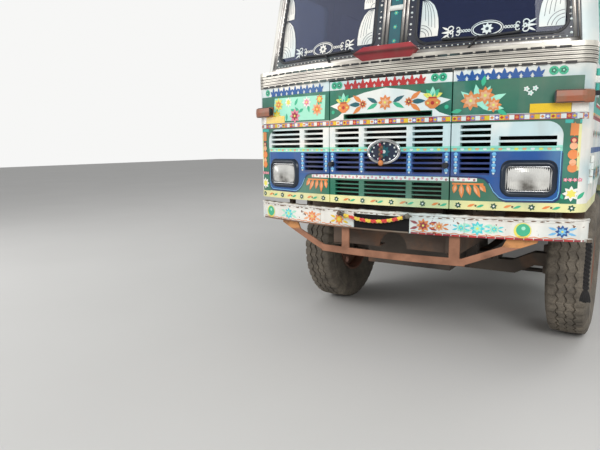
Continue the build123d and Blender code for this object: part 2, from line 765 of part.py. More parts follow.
def bumper_front_y(x):
    """Depth of the bumper's front at a place across it."""
    return BUMPER_FRONT_Y + x**2 / (2 * BUMPER_RADIUS)


def garland_points():
    return [Vector(x, bumper_front_y(x) - GARLAND_PROUD, z) for x, z in GARLAND_ROUTE]


def tie(end, towards):
    """Ring of cloth that ties a cord's end, in line with the cord's first run."""
    back = (end - towards).normalized()
    return extrude(Plane(origin=end, z_dir=back) * Circle(TIE_RADIUS), amount=TIE_LENGTH)


def bumper():
    """Band in three lengths with a top lip, a middle recess, the irons to the frame and three ties."""
    below_lip = (BUMPER_BOTTOM_Z - 1, BUMPER_LIP_Z)
    face = outline_face(rectangle(-FAR, FAR, BUMPER_BOTTOM_Z, BUMPER_TOP_Z))
    band = bumper_band(face, 0, BUMPER_DEPTH) & block(-FAR, FAR, -FAR, BUMPER_REAR_Y, 0, FAR)
    sunk = outline_face(rectangle(-FAR, FAR, *below_lip))
    band = band - bumper_band(sunk, -20, 20 + BUMPER_LIP_HEIGHT)
    recess = outline_face(rectangle(*BUMPER_RECESS_X, *below_lip))
    band = band - bumper_band(recess, -1, BUMPER_RECESS_DEPTH)
    groove_half, groove_depth = BUMPER_GROOVE
    for x in BUMPER_JOINT_X:
        groove = rectangle(x - groove_half, x + groove_half, BUMPER_BOTTOM_Z - 1, BUMPER_TOP_Z + 1)
        band = band - bumper_band(outline_face(groove), -1, groove_depth)
    pieces = [band]
    for x in IRON_X:
        x0 = x - IRON_HALF_WIDTH
        x1 = x + IRON_HALF_WIDTH
        pieces.append(block(x0, x1, BUMPER_DEPTH, FRAME_FRONT_Y, *IRON_Z))
        pieces.append(block(x0, x1, FRAME_FRONT_Y - IRON_PLATE_THICKNESS, FRAME_FRONT_Y, *IRON_PLATE_Z))
    garland = garland_points()
    braid = [Vector(*point) for point in BRAID_ROUTE]
    pieces += [tie(garland[0], garland[1]), tie(garland[-1], garland[-2]), tie(braid[0], braid[1])]
    return fuse(pieces)


# The guard's flat bars in front view
GUARD_BAR_Z = (683, 727)
GUARD_BAR_X = 490
GUARD_STRUTS = ((-321, -266), (399, 459))
# Slanting arm with its gusset: x, z
GUARD_ARM = ((470, 683), (870, 846), (870, BUMPER_BOTTOM_Z), (715, BUMPER_BOTTOM_Z), (690, 815), (470, 727))
GUARD_INSET = 24
GUARD_THICKNESS = 12


def lower_guard():
    """Flat bars bolted under the bumper: a level bar, two struts, two slanting arms with gussets."""
    z0, z1 = GUARD_BAR_Z
    bars = [outline_face(rectangle(-GUARD_BAR_X, GUARD_BAR_X, z0, z1))]
    bars += [outline_face(rectangle(x0, x1, z0 + 7, BUMPER_BOTTOM_Z)) for x0, x1 in GUARD_STRUTS]
    for side in (-1, 1):
        bars.append(outline_face([(side * x, z) for x, z in GUARD_ARM]))
    return fuse([bumper_band(face, GUARD_INSET, GUARD_THICKNESS) for face in bars])


def hung_cord(points, diameter):
    """Round cord along runs joined by the largest arcs that they allow; prints its radii."""
    radii = []
    for before, corner, after in zip(points, points[1:], points[2:]):
        turn = radians((corner - before).get_angle(after - corner))
        shorter = min((corner - before).length, (after - corner).length)
        radii.append(0.45 * shorter / tan(turn / 2))
    path = FilletPolyline(*points, radius=radii)
    first = Plane(origin=points[0], z_dir=points[1] - points[0])
    cord = sweep(first * Circle(diameter / 2), path=path)
    expected = pi * diameter**2 / 4 * path.length
    print("cord", round(path.length), [round(radius) for radius in radii], cord.volume / expected)
    return cord


TASSEL_HEIGHT = 90
TASSEL_RADII = (17, 30)


def tassel():
    """Flared end of the hanging braid."""
    x, y, z = BRAID_ROUTE[-1]
    above = Vector(*BRAID_ROUTE[-2])
    end = Vector(x, y, z)
    top_radius, bottom_radius = TASSEL_RADII
    top = Plane(origin=end, z_dir=end - above) * Circle(top_radius)
    bottom = Plane(origin=(x, y, z - TASSEL_HEIGHT), z_dir=(0, 0, -1)) * Circle(bottom_radius)
    return loft([top, bottom], ruled=True)


nodes["bumper"] = bumper()
nodes["lower_guard"] = lower_guard()
nodes["garland"] = hung_cord(garland_points(), GARLAND_DIAMETER)
nodes["braid"] = hung_cord([Vector(*point) for point in BRAID_ROUTE], BRAID_DIAMETER)
nodes["braid_tassel"] = tassel()


# Wheels and tyres

ROUND_SIDES = 32


def corner_ring(x, radius):
    """Corners of a many-sided circle round X whose flats touch the radius, a flat side down."""
    reach = radius / cos(pi / ROUND_SIDES)
    turns = [2 * pi * (index + 0.5) / ROUND_SIDES for index in range(ROUND_SIDES)]
    return [Vector(x, reach * sin(turn), -reach * cos(turn)) for turn in turns]


def flat_face(corners):
    return Face(Wire.make_polygon(corners))


def turned(profile, closed=True):
    """Solid round X in flat facets from (x, radius) points: a ring, or a disc if its profile is open."""
    rings = [corner_ring(x, radius) for x, radius in profile]
    pairs = list(zip(rings, rings[1:]))
    faces = []
    if closed:
        pairs.append((rings[-1], rings[0]))
    else:
        faces = [flat_face(rings[0]), flat_face(rings[-1])]
    for here, there in pairs:
        for index in range(ROUND_SIDES):
            nearby = (index + 1) % ROUND_SIDES
            faces.append(flat_face([here[index], here[nearby], there[nearby], there[index]]))
    return Solid(Shell(faces))


# Section of a tyre: x from its middle, radius
TYRE_SECTION = (
    (-TYRE_HALF_WIDTH, 350),
    (-TYRE_HALF_WIDTH, 440),
    (-122, 500),
    (-98, TYRE_RADIUS),
    (98, TYRE_RADIUS),
    (122, 500),
    (TYRE_HALF_WIDTH, 440),
    (TYRE_HALF_WIDTH, 350),
    (100, RIM_SEAT_RADIUS),
    (-100, RIM_SEAT_RADIUS),
)


def tyre(x):
    """One ring of tyre round the X axis, at a distance from the truck's middle."""
    return Pos(x, 0, 0) * turned(TYRE_SECTION)


# Section of a rim with its lips: x from its middle, radius
RIM_INSIDE_RADIUS = 248
RIM_SECTION = (
    (-112, 268),
    (-104, 268),
    (-100, RIM_SEAT_RADIUS),
    (100, RIM_SEAT_RADIUS),
    (104, 268),
    (112, 268),
    (112, 254),
    (104, RIM_INSIDE_RADIUS),
    (-104, RIM_INSIDE_RADIUS),
    (-112, 254),
)
DISC_OFFSET = 20
DISC_HALF_THICKNESS = 6
HAND_HOLES = 8
HAND_HOLE_RADIUS = 30
HAND_HOLE_CIRCLE = 190


def wheel_disc(x, side):
    """Pressed disc wheel: rim with lips, and a disc with hand holes towards one side."""
    middle = side * DISC_OFFSET
    disc = turned([(middle + step, RIM_INSIDE_RADIUS) for step in (-DISC_HALF_THICKNESS, DISC_HALF_THICKNESS)],
                  closed=False)
    plane = Plane(origin=(middle - 30, 0, HAND_HOLE_CIRCLE), x_dir=(0, 1, 0), z_dir=(1, 0, 0))
    hole = extrude(plane * RegularPolygon(HAND_HOLE_RADIUS, 8), amount=60)
    for index in range(HAND_HOLES):
        disc = disc - Rot(360 * index / HAND_HOLES, 0, 0) * hole
    return Pos(x, 0, 0) * (turned(RIM_SECTION) + disc)


SPINDLE_RADIUS = 35
SPINDLE_END = 1010


# Hub drums of a front wheel along X: radius, from, to
FRONT_HUB = ((110, 900, 1000), (70, 995, 1055))
# The same for a pair of rear wheels, from the inner disc and from the outer one
REAR_DRUM_RADIUS = 120
REAR_CAP = (85, -20, 60)
CAP_BEVEL = 10


def front_wheel():
    """Single wheel with its hub and cap, bored for the spindle."""
    drum, cap = [cylinder_x(radius, x0, x1, 0, 0) for radius, x0, x1 in FRONT_HUB]
    bore = cylinder_x(SPINDLE_RADIUS + SHAFT_CLEARANCE, FRONT_HUB[0][1] - 10, SPINDLE_END + 10, 0, 0)
    whole = fuse([wheel_disc(FRONT_TRACK / 2, -1), drum, bevelled(cap, CAP_BEVEL)]) - bore
    return Pos(0, FRONT_AXLE_Y, TYRE_RADIUS) * whole


def rear_wheel():
    """Twin wheels joined by their drum, with the cap of the half shaft."""
    inner = REAR_TRACK / 2 - TWIN_SPACING / 2
    outer = REAR_TRACK / 2 + TWIN_SPACING / 2
    drum = cylinder_x(REAR_DRUM_RADIUS, inner + 10, outer - 10, 0, 0)
    cap_radius, cap_start, cap_end = REAR_CAP
    cap = bevelled(cylinder_x(cap_radius, outer + cap_start, outer + cap_end, 0, 0), CAP_BEVEL)
    bore = cylinder_x(SPINDLE_RADIUS + SHAFT_CLEARANCE, inner - 100, outer + 10, 0, 0)
    whole = fuse([wheel_disc(inner, 1), wheel_disc(outer, -1), drum, cap]) - bore
    return Pos(0, REAR_AXLE_Y, TYRE_RADIUS) * whole


front_tyre = Pos(0, FRONT_AXLE_Y, TYRE_RADIUS) * tyre(FRONT_TRACK / 2)
nodes["front_wheel_left"] = front_wheel()
nodes["front_wheel_right"] = mirrored(front_wheel())
nodes["front_tyre_left"] = front_tyre
nodes["front_tyre_right"] = mirrored(front_tyre)
twin_centres = [REAR_TRACK / 2 - TWIN_SPACING / 2, REAR_TRACK / 2 + TWIN_SPACING / 2]
twin_tyres = [Pos(0, REAR_AXLE_Y, TYRE_RADIUS) * tyre(x) for x in twin_centres]
nodes["rear_wheels_left"] = rear_wheel()
nodes["rear_wheels_right"] = mirrored(rear_wheel())
nodes["rear_tyres_left"] = apart(twin_tyres)
nodes["rear_tyres_right"] = apart([mirrored(ring) for ring in twin_tyres])


# Front axle, knuckles and tie rod

KINGPIN_RADIUS = 22
BEAM_TOP_Z = 500
BEAM_BOTTOM_Z = 400
EYE_BOTTOM_Z = 476
EYE_TOP_Z = 576
YOKE_RADIUS = 48
YOKE_LOWER_Z = (418, 468)
YOKE_UPPER_Z = (584, 634)
CHEEK_X = (52, 85)
ARM_LENGTH = 200
ARM_HALF_WIDTH = 22
ARM_Z = (420, 448)
ARM_EYE_RADIUS = 26
TIE_ROD_END_Z = (364, 412)
TIE_ROD_RADIUS = 17


def front_axle():
    """Forged drop beam: low between the springs, rising to the kingpin eyes."""
    profile = [
        (0, BEAM_BOTTOM_Z),
        (560, BEAM_BOTTOM_Z),
        (700, EYE_BOTTOM_Z),
        (KINGPIN_X, EYE_BOTTOM_Z),
        (KINGPIN_X, EYE_TOP_Z),
        (690, EYE_TOP_Z),
        (540, BEAM_TOP_Z),
        (0, BEAM_TOP_Z),
    ]
    half = front_outline(profile, FRONT_AXLE_Y - 45, FRONT_AXLE_Y + 45)
    eye = cylinder_z(45, EYE_BOTTOM_Z, EYE_TOP_Z, KINGPIN_X, FRONT_AXLE_Y)
    bore = cylinder_z(KINGPIN_RADIUS + SHAFT_CLEARANCE, 400, 700, KINGPIN_X, FRONT_AXLE_Y)
    half = half + eye - bore
    return half + mirrored(half)


def knuckle():
    """Yoke round the beam's eye, kingpin, spindle, steering arm."""
    low_z, high_z = YOKE_LOWER_Z[0], YOKE_UPPER_Z[1]
    front_y = FRONT_AXLE_Y - YOKE_RADIUS
    rear_y = FRONT_AXLE_Y + YOKE_RADIUS
    eye_y = FRONT_AXLE_Y + ARM_LENGTH
    pieces = [cylinder_z(KINGPIN_RADIUS, low_z + 20, high_z - 20, KINGPIN_X, FRONT_AXLE_Y)]
    for lug_z in (YOKE_LOWER_Z, YOKE_UPPER_Z):
        pieces.append(cylinder_z(YOKE_RADIUS, *lug_z, KINGPIN_X, FRONT_AXLE_Y))
        pieces.append(block(KINGPIN_X, KINGPIN_X + CHEEK_X[0] + 8, front_y + 3, rear_y - 3, *lug_z))
    pieces.append(block(KINGPIN_X + CHEEK_X[0], KINGPIN_X + CHEEK_X[1], front_y, rear_y, low_z, high_z))
    pieces.append(cylinder_x(SPINDLE_RADIUS, KINGPIN_X + CHEEK_X[0] + 8, SPINDLE_END, FRONT_AXLE_Y, TYRE_RADIUS))
    pieces.append(block(KINGPIN_X - ARM_HALF_WIDTH, KINGPIN_X + ARM_HALF_WIDTH, FRONT_AXLE_Y + 30, eye_y, *ARM_Z))
    pieces.append(cylinder_z(ARM_EYE_RADIUS, *ARM_Z, KINGPIN_X, eye_y))
    return fuse(pieces)


def tie_rod():
    """Rod close under the two steering arms, with a ball joint at each."""
    y = FRONT_AXLE_Y + ARM_LENGTH
    z0, z1 = TIE_ROD_END_Z
    rod = cylinder_x(TIE_ROD_RADIUS, -KINGPIN_X, KINGPIN_X, y, (z0 + z1) / 2)
    ends = [cylinder_z(ARM_EYE_RADIUS, z0, z1, x, y) for x in (-KINGPIN_X, KINGPIN_X)]
    return fuse([rod] + ends)


nodes["front_axle"] = front_axle()
nodes["knuckle_left"] = knuckle()
nodes["knuckle_right"] = mirrored(knuckle())
nodes["tie_rod"] = tie_rod()


# Rear axle and springs

# Round forms of the rear axle along X: radius, half length
AXLE_TUBE = (70, 620)
AXLE_STUBS = (SPINDLE_RADIUS, 1060)
AXLE_HOUSING = (215, 110)
HOUSING_BEVEL = 60
NOSE_RADIUS = 90


def rear_axle():
    """Axle tube with its bevelled middle housing, the nose to the shaft and the wheel stubs."""
    tube, stubs, housing = [cylinder_x(radius, -half, half, REAR_AXLE_Y, TYRE_RADIUS)
                            for radius, half in (AXLE_TUBE, AXLE_STUBS, AXLE_HOUSING)]
    nose = cylinder_y(NOSE_RADIUS, SHAFT_END[0], REAR_AXLE_Y - 150, 0, TYRE_RADIUS)
    return fuse([tube, stubs, bevelled(housing, HOUSING_BEVEL), nose])


LEAF_THICKNESS = 13
LEAF_HALF_WIDTH = 38
LEAF_SHORTENING = 0.11


def leaf_spring(axle_y, seat_z, half_length, rise, leaves, x):
    """Pack of arched leaves, each shorter than the one above."""
    pack = []
    for index in range(leaves):
        half = half_length * (1 - LEAF_SHORTENING * index)
        drop = rise * (half / half_length) ** 2
        low = seat_z + (leaves - 1 - index) * LEAF_THICKNESS
        high = low + LEAF_THICKNESS
        front_y = axle_y - half
        rear_y = axle_y + half
        top = ThreePointArc((front_y, high + drop), (axle_y, high), (rear_y, high + drop))
        under = ThreePointArc((front_y, low + drop), (axle_y, low), (rear_y, low + drop))
        ends = [Line((y, low + drop), (y, high + drop)) for y in (front_y, rear_y)]
        face = make_face([*top.edges(), *under.edges(), *ends[0].edges(), *ends[1].edges()])
        pack.append(Pos(x - LEAF_HALF_WIDTH, 0, 0) * extrude(Plane.YZ * face, amount=2 * LEAF_HALF_WIDTH))
    return fuse(pack)


# Springs: axle's y, height of the lowest leaf, half length, rise of the tips, leaves, x, foot of the saddle
FRONT_SPRING = (FRONT_AXLE_Y, 530, 640, 55, 6, 390, 500)
REAR_SPRING = (REAR_AXLE_Y, 610, 720, 20, 5, 390, 540)
HANGER_HALF_LENGTH = 35
SADDLE_SIZE = (50, 80)


def spring_set(axle_y, seat_z, half_length, rise, leaves, x, saddle_z):
    """Spring with a hanger at each tip and the saddle that clamps it to its axle."""
    pieces = [leaf_spring(axle_y, seat_z, half_length, rise, leaves, x)]
    tip_z = seat_z + (leaves - 1) * LEAF_THICKNESS + rise
    for tip_y in (axle_y - half_length, axle_y + half_length):
        pieces.append(block(x - LEAF_HALF_WIDTH, x + 30, tip_y - HANGER_HALF_LENGTH, tip_y + HANGER_HALF_LENGTH,
                            tip_z - 30, FRAME_TOP_Z - FRAME_DEPTH))
    half_x, half_y = SADDLE_SIZE
    pieces.append(block(x - half_x, x + half_x, axle_y - half_y, axle_y + half_y, saddle_z, seat_z + 4))
    return fuse(pieces) - rear_axle()


springs = [spring_set(*FRONT_SPRING), spring_set(*REAR_SPRING)]
nodes["leaf_springs"] = apart(springs + [mirrored(spring) for spring in springs])


# Propeller shaft

FLANGE_RADIUS = 60
FLANGE_LENGTH = 30
SHAFT_RADIUS = 48


def propeller_shaft():
    """Two tubes between flanges, with a centre bearing in the middle crossmember."""
    (start_y, start_z), (middle_y, middle_z), (end_y, end_z) = SHAFT_START, SHAFT_MIDDLE, SHAFT_END
    pieces = [
        cylinder_y(FLANGE_RADIUS, start_y, start_y + FLANGE_LENGTH, 0, start_z),
        cylinder_y(FLANGE_RADIUS, end_y - FLANGE_LENGTH, end_y, 0, end_z),
        cylinder_y(SHAFT_HOLE_RADIUS, middle_y - MEMBER_HALF_WIDTH, middle_y + MEMBER_HALF_WIDTH, 0, middle_z),
    ]
    inside_flange = FLANGE_LENGTH / 2
    stations = [
        Vector(0, start_y + inside_flange, start_z),
        Vector(0, middle_y, middle_z),
        Vector(0, end_y - inside_flange, end_z),
    ]
    for start, end in zip(stations, stations[1:]):
        run = end - start
        pieces.append(extrude(Plane(origin=start, z_dir=run) * Circle(SHAFT_RADIUS), amount=run.length))
    return fuse(pieces)


nodes["rear_axle"] = rear_axle()
nodes["propeller_shaft"] = propeller_shaft()


# Equipment on the frame

BRACKET_WIDTH = 60

# Tank and box: from x, to x, from y, to y, from z, to z; then where their brackets stand along Y, and their z
TANK = (480, 1060, 2350, 3350, 500, 930)
TANK_ROUNDING = 90
TANK_BRACKET_Y = (2500, 3150)
TANK_BRACKET_Z = (600, 900)
BOX = (-960, -480, 2300, 2900, 560, 900)
BOX_ROUNDING = 20
BOX_BRACKET_Y = (2380, 2760)
BOX_BRACKET_Z = (640, 880)


def fuel_tank():
    """Rounded steel tank on two brackets at the left rail."""
    body = block(*TANK)
    body = fillet(body.edges().filter_by(Axis.Y), TANK_ROUNDING)
    brackets = [block(FRAME_HALF_WIDTH, TANK[0] + 20, y, y + BRACKET_WIDTH, *TANK_BRACKET_Z)
                for y in TANK_BRACKET_Y]
    return fuse([body] + brackets)


def battery_box():
    """Box on two brackets at the right rail."""
    box = fillet(block(*BOX).edges().filter_by(Axis.Z), BOX_ROUNDING)
    brackets = [block(BOX[1] - 20, -FRAME_HALF_WIDTH, y, y + BRACKET_WIDTH, *BOX_BRACKET_Z)
                for y in BOX_BRACKET_Y]
    return fuse([box] + brackets)


AIR_TANK_RADIUS = 110
AIR_TANK_BEVEL = 35
AIR_TANK_X = -600
AIR_TANK_Y = (3080, 3760)
AIR_TANK_HEIGHTS = (640, 880)
AIR_STRAP_Y = (3180, 3600)
SILENCER_X = 600
SILENCER_Z = 600
SILENCER_RADIUS = 120
SILENCER_Y = (3550, 4350)
PIPE_RADIUS = 40
PIPE_END_Y = 4800
SILENCER_STRAP_Y = (3650, 4200)
STRAP_WIDTH = 50
STRAP_HALF_DEPTH = 40


def air_tanks():
    """Two air tanks, one above the other, on straps at the right rail."""
    tanks = [bevelled(cylinder_y(AIR_TANK_RADIUS, *AIR_TANK_Y, AIR_TANK_X, z), AIR_TANK_BEVEL)
             for z in AIR_TANK_HEIGHTS]
    low_z, high_z = AIR_TANK_HEIGHTS
    straps = [block(AIR_TANK_X - STRAP_HALF_DEPTH, -FRAME_HALF_WIDTH, y, y + STRAP_WIDTH, low_z - 20, high_z + 20)
              for y in AIR_STRAP_Y]
    return fuse(tanks + straps)


def silencer():
    """Round silencer with its pipe, slung under the left rail."""
    drum = bevelled(cylinder_y(SILENCER_RADIUS, *SILENCER_Y, SILENCER_X, SILENCER_Z), 25)
    tail = cylinder_y(PIPE_RADIUS, SILENCER_Y[1] - 10, PIPE_END_Y, SILENCER_X, SILENCER_Z)
    straps = [block(FRAME_HALF_WIDTH, SILENCER_X + STRAP_HALF_DEPTH, y, y + STRAP_WIDTH,
                    SILENCER_Z + STRAP_HALF_DEPTH, FRAME_TOP_Z - 150) for y in SILENCER_STRAP_Y]
    return fuse([drum, tail] + straps)


SPARE_Y = 6800
SPARE_Z = 560
CARRIER_RADIUS = 60


def spare_wheel():
    """Tyre and rim lying flat under the tail, hung from a carrier at their middle."""
    flat = Pos(0, SPARE_Y, SPARE_Z) * Rot(0, 90, 0)
    carrier_top = FRAME_TOP_Z - FRAME_DEPTH + RAIL_THICKNESS
    carrier = cylinder_z(CARRIER_RADIUS, SPARE_Z - 40, carrier_top, 0, SPARE_Y)
    nodes["spare_tyre"] = flat * tyre(0)
    nodes["spare_rim"] = flat * wheel_disc(0, 1) + carrier


nodes["fuel_tank"] = fuel_tank()
nodes["battery_box"] = battery_box()
nodes["air_tanks"] = air_tanks()
nodes["silencer"] = silencer()
spare_wheel()


# Steps, mudguards and flaps

STEP_X = (900, 1085)
STEP_Y = (330, 620)
STEP_Z = (850, 880)
STEP_HANGER = (30, 40)


def cab_step():
    """Step behind the bumper's end, hung from the cab floor ahead of the front wheel."""
    x0, x1 = STEP_X
    y0, y1 = STEP_Y
    width, length = STEP_HANGER
    tread = block(x0, x1, y0, y1, *STEP_Z)
    hangers = [block(x0, x0 + width, y, y + length, STEP_Z[0], FLOOR_Z - FLOOR_THICKNESS)
               for y in (y0, y1 - length)]
    return fuse([tread] + hangers)


MUDGUARD_RADIUS = FLOOR_Z - FLOOR_THICKNESS - TYRE_RADIUS
MUDGUARD_THICKNESS = 8
MUDGUARD_REACH = 520
MUDGUARD_X = (560, 1044)
MUDGUARD_BOTTOM_Z = TYRE_RADIUS + 360


def front_mudguard():
    """Sheet bent over the left front tyre, its crown flat under the cab floor."""
    x0, x1 = MUDGUARD_X
    top_z = FLOOR_Z - FLOOR_THICKNESS
    sheet = cylinder_x(MUDGUARD_RADIUS, x0, x1, FRONT_AXLE_Y, TYRE_RADIUS)
    sheet = sheet - cylinder_x(MUDGUARD_RADIUS - MUDGUARD_THICKNESS, x0 - 1, x1 + 1, FRONT_AXLE_Y, TYRE_RADIUS)
    sheet = sheet & block(0, FAR, FRONT_AXLE_Y - MUDGUARD_REACH, FRONT_AXLE_Y + MUDGUARD_REACH,
                          MUDGUARD_BOTTOM_Z, FAR)
    seat_strip = block(x0, x1, FRONT_AXLE_Y - 60, FRONT_AXLE_Y + 60, top_z - MUDGUARD_THICKNESS - 1, top_z)
    return sheet + seat_strip


# Flap behind the rear tyres: from x, to x, from y, to y, from z, to z
REAR_FLAP = (620, 1190, 6180, 6192, 380, 1100)

nodes["cab_steps"] = apart([cab_step(), mirrored(cab_step())])
nodes["front_mudguards"] = apart([front_mudguard(), mirrored(front_mudguard())])
nodes["mudflaps"] = apart([block(*REAR_FLAP), mirrored(block(*REAR_FLAP))])


# Load body

RUNNER_TOP_Z = 1100
RUNNER_X = 390
RUNNER_HALF_WIDTH = 35
BEARER_TOP_Z = 1210
BEARERS = 10
BEARER_WIDTH = 60
HEADBOARD_THICKNESS = 50
FLOOR_HALF_WIDTH = BODY_HALF_WIDTH - SIDE_THICKNESS - 2


def deck_bearers():
    """Two runners along the rails and the cross bearers on them, as single timbers."""
    timbers = [block(x - RUNNER_HALF_WIDTH, x + RUNNER_HALF_WIDTH, BODY_FRONT_Y, DECK_REAR_Y,
                     FRAME_TOP_Z, RUNNER_TOP_Z) for x in (-RUNNER_X, RUNNER_X)]
    pitch = (DECK_REAR_Y - BODY_FRONT_Y - BEARER_WIDTH) / (BEARERS - 1)
    for index in range(BEARERS):
        y = BODY_FRONT_Y + pitch * index
        timbers.append(block(-BODY_HALF_WIDTH, BODY_HALF_WIDTH, y, y + BEARER_WIDTH,
                             RUNNER_TOP_Z, BEARER_TOP_Z))
    return apart(timbers)


def deck():
    """Boarded floor between the walls."""
    front_y = BODY_FRONT_Y + HEADBOARD_THICKNESS + 2
    return block(-FLOOR_HALF_WIDTH, FLOOR_HALF_WIDTH, front_y, DECK_REAR_Y, BEARER_TOP_Z, DECK_Z)


POSTS = 9
WALL_REAR_Y = 7360
RAIL_HEIGHT = 70
POST_WIDTH = 70
# Layers of a side wall across its thickness: from, to
BOARDS = (5, 27)
RAILS = (15, 44)
POST_DEPTH = (20, 50)
CAP_HEIGHT = 25


def side_wall():
    """Boarded side with outside posts, and a bottom, a middle and a top rail."""
    y0 = BODY_FRONT_Y + HEADBOARD_THICKNESS
    y1 = WALL_REAR_Y
    inner_x = BODY_HALF_WIDTH - SIDE_THICKNESS
    boards_x, rails_x, posts_x = [[inner_x + depth for depth in layer] for layer in (BOARDS, RAILS, POST_DEPTH)]
    pieces = [block(*boards_x, y0, y1, BEARER_TOP_Z, SIDE_TOP_Z)]
    pieces.append(block(inner_x, BODY_HALF_WIDTH, y0, y1, SIDE_TOP_Z - CAP_HEIGHT, SIDE_TOP_Z))
    for z in (BEARER_TOP_Z, (BEARER_TOP_Z + SIDE_TOP_Z) / 2, SIDE_TOP_Z - RAIL_HEIGHT):
        pieces.append(block(*rails_x, y0, y1, z, z + RAIL_HEIGHT))
    pitch = (y1 - y0 - POST_WIDTH) / (POSTS - 1)
    for index in range(POSTS):
        y = y0 + pitch * index
        pieces.append(block(*posts_x, y, y + POST_WIDTH, BEARER_TOP_Z, SIDE_TOP_Z))
    return fuse(pieces)


HEADBOARD_SHOULDER_Z = 2590
HEADBOARD_POSTS_X = (-1185, -600, 0, 600, 1185)
HEADBOARD_POST_TOP_Z = 2600
POST_HALF_WIDTH = POST_WIDTH / 2
FRONT_POST_DEPTH = 30


def headboard():
    """Front wall of the body, higher than the sides, with a low arch and posts before it."""
    w = BODY_HALF_WIDTH
    shoulder = HEADBOARD_SHOULDER_Z
    base = Polyline((-w, shoulder), (-w, BEARER_TOP_Z), (w, BEARER_TOP_Z), (w, shoulder))
    arch = ThreePointArc((w, shoulder), (0, HEADBOARD_TOP_Z), (-w, shoulder))
    face = make_face([*base.edges(), *arch.edges()])
    rear_y = BODY_FRONT_Y + HEADBOARD_THICKNESS
    post_rear_y = BODY_FRONT_Y + FRONT_POST_DEPTH
    board = Pos(0, rear_y, 0) * extrude(Plane.XZ * face, amount=HEADBOARD_THICKNESS - FRONT_POST_DEPTH + 10)
    posts = [block(x - POST_HALF_WIDTH, x + POST_HALF_WIDTH, BODY_FRONT_Y, post_rear_y,
                   BEARER_TOP_Z, HEADBOARD_POST_TOP_Z) for x in HEADBOARD_POSTS_X]
    return fuse([board] + posts)


GATE_BOTTOM_Z = 1270
GATE_POSTS_X = (-1120, -560, 0, 560, 1120)
GATE_BARREL_RADIUS = 8
# Layers of the gate along Y: from, to
GATE_BOARDS_Y = (7312, 7334)
GATE_RAILS_Y = (7320, 7352)
GATE_POST_Y = (7320, 7360)
# Leaf of a gate hinge beside a post: from, to along X; its top
GATE_LEAF_X = (-60, -20)
GATE_LEAF_TOP_Z = 1330


def tailgate():
    """Bottom-hinged gate: boards, rails, posts, and hinge leaves down to the hinge line."""
    hinge_y, hinge_z = GATE_HINGE
    w = GATE_HALF_WIDTH
    pieces = [block(-w, w, *GATE_BOARDS_Y, GATE_BOTTOM_Z, SIDE_TOP_Z)]
    for z in (GATE_BOTTOM_Z, (GATE_BOTTOM_Z + SIDE_TOP_Z) / 2, SIDE_TOP_Z - RAIL_HEIGHT):
        pieces.append(block(-w, w, *GATE_RAILS_Y, z, z + RAIL_HEIGHT))
    for x in GATE_POSTS_X:
        pieces.append(block(x - POST_HALF_WIDTH, x + POST_HALF_WIDTH, *GATE_POST_Y, GATE_BOTTOM_Z, SIDE_TOP_Z))
    for x in GATE_POSTS_X[1:]:
        x0, x1 = [x + reach for reach in GATE_LEAF_X]
        pieces.append(cylinder_x(GATE_BARREL_RADIUS, x0, x1, hinge_y, hinge_z))
        pieces.append(block(x0, x1, GATE_POST_Y[1] - 5, hinge_y, hinge_z, GATE_LEAF_TOP_Z))
    return fuse(pieces)


nodes["deck"] = deck()
nodes["deck_bearers"] = deck_bearers()
nodes["side_walls"] = apart([side_wall(), mirrored(side_wall())])
nodes["headboard"] = headboard()
nodes["tailgate"] = tailgate()


# Lamps and mirrors

TAIL_LAMP_X = (820, 1040)
TAIL_LAMP_Z = (1110, 1200)
TAIL_LAMP_DEPTH = 45
MIRROR_X = (1100, 1290)
MIRROR_Y = (215, 250)
MIRROR_Z = (2490, 2800)
MIRROR_ROUNDING = 20
MIRROR_ARM_HEIGHTS = (2560, 2700)
MIRROR_ARM_RADIUS = 11
# Ends of an arm in plan: x, y
MIRROR_ARM_FOOT = (960, 400)
MIRROR_ARM_HEAD = (1190, 240)
STAY_Z = (1660, 2500)
STAY_CLAMP = (1086, 1206, 221, 243, 1648, 1672)


def tail_lamp():
    return block(*TAIL_LAMP_X, DECK_REAR_Y, DECK_REAR_Y + TAIL_LAMP_DEPTH, *TAIL_LAMP_Z)


def mirror_set():
    """Mirror head on two arms from the front pillar."""
    head = block(*MIRROR_X, *MIRROR_Y, *MIRROR_Z)
    pieces = [fillet(head.edges().filter_by(Axis.Y), MIRROR_ROUNDING)]
    for z in MIRROR_ARM_HEIGHTS:
        foot = Vector(*MIRROR_ARM_FOOT, z)
        run = Vector(*MIRROR_ARM_HEAD, z) - foot
        pieces.append(extrude(Plane(origin=foot, z_dir=run) * Circle(MIRROR_ARM_RADIUS), amount=run.length))
    return fuse(pieces) - leaning_shell(LEDGE_TOP_Z, CANT_RAIL_Z)


def mirror_stay():
    """Upright stay under the left mirror, down to a clamp on the corner panel."""
    x, y = MIRROR_ARM_HEAD
    stay = cylinder_z(MIRROR_ARM_RADIUS, *STAY_Z, x, y - 8)
    return stay + (block(*STAY_CLAMP) - upright_shell(FACE_BOTTOM_Z, LEDGE_Z))


left_lamps = [headlamp(), marker_lamp(), tail_lamp()]
nodes["lamps"] = apart(left_lamps + [mirrored(piece) for piece in left_lamps])
nodes["mirrors"] = apart([mirror_set() + mirror_stay(), mirrored(mirror_set())])


# Export, with the origin at the middle of the ground under the truck

os.makedirs("parts", exist_ok=True)
extent = apart(nodes.values()).bounding_box()
middle = extent.center()
to_origin = Pos(-middle.X, -middle.Y, -extent.min.Z)
print("extent", extent.min, extent.max)
for name, shape in nodes.items():
    export_step(Compound(children=[to_origin * solid for solid in shape.solids()]), f"parts/{name}.step")
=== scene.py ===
from math import cos, exp, pi, sin, sqrt

import bmesh
import bpy
from mathutils import Matrix, Vector
from mathutils.bvhtree import BVHTree


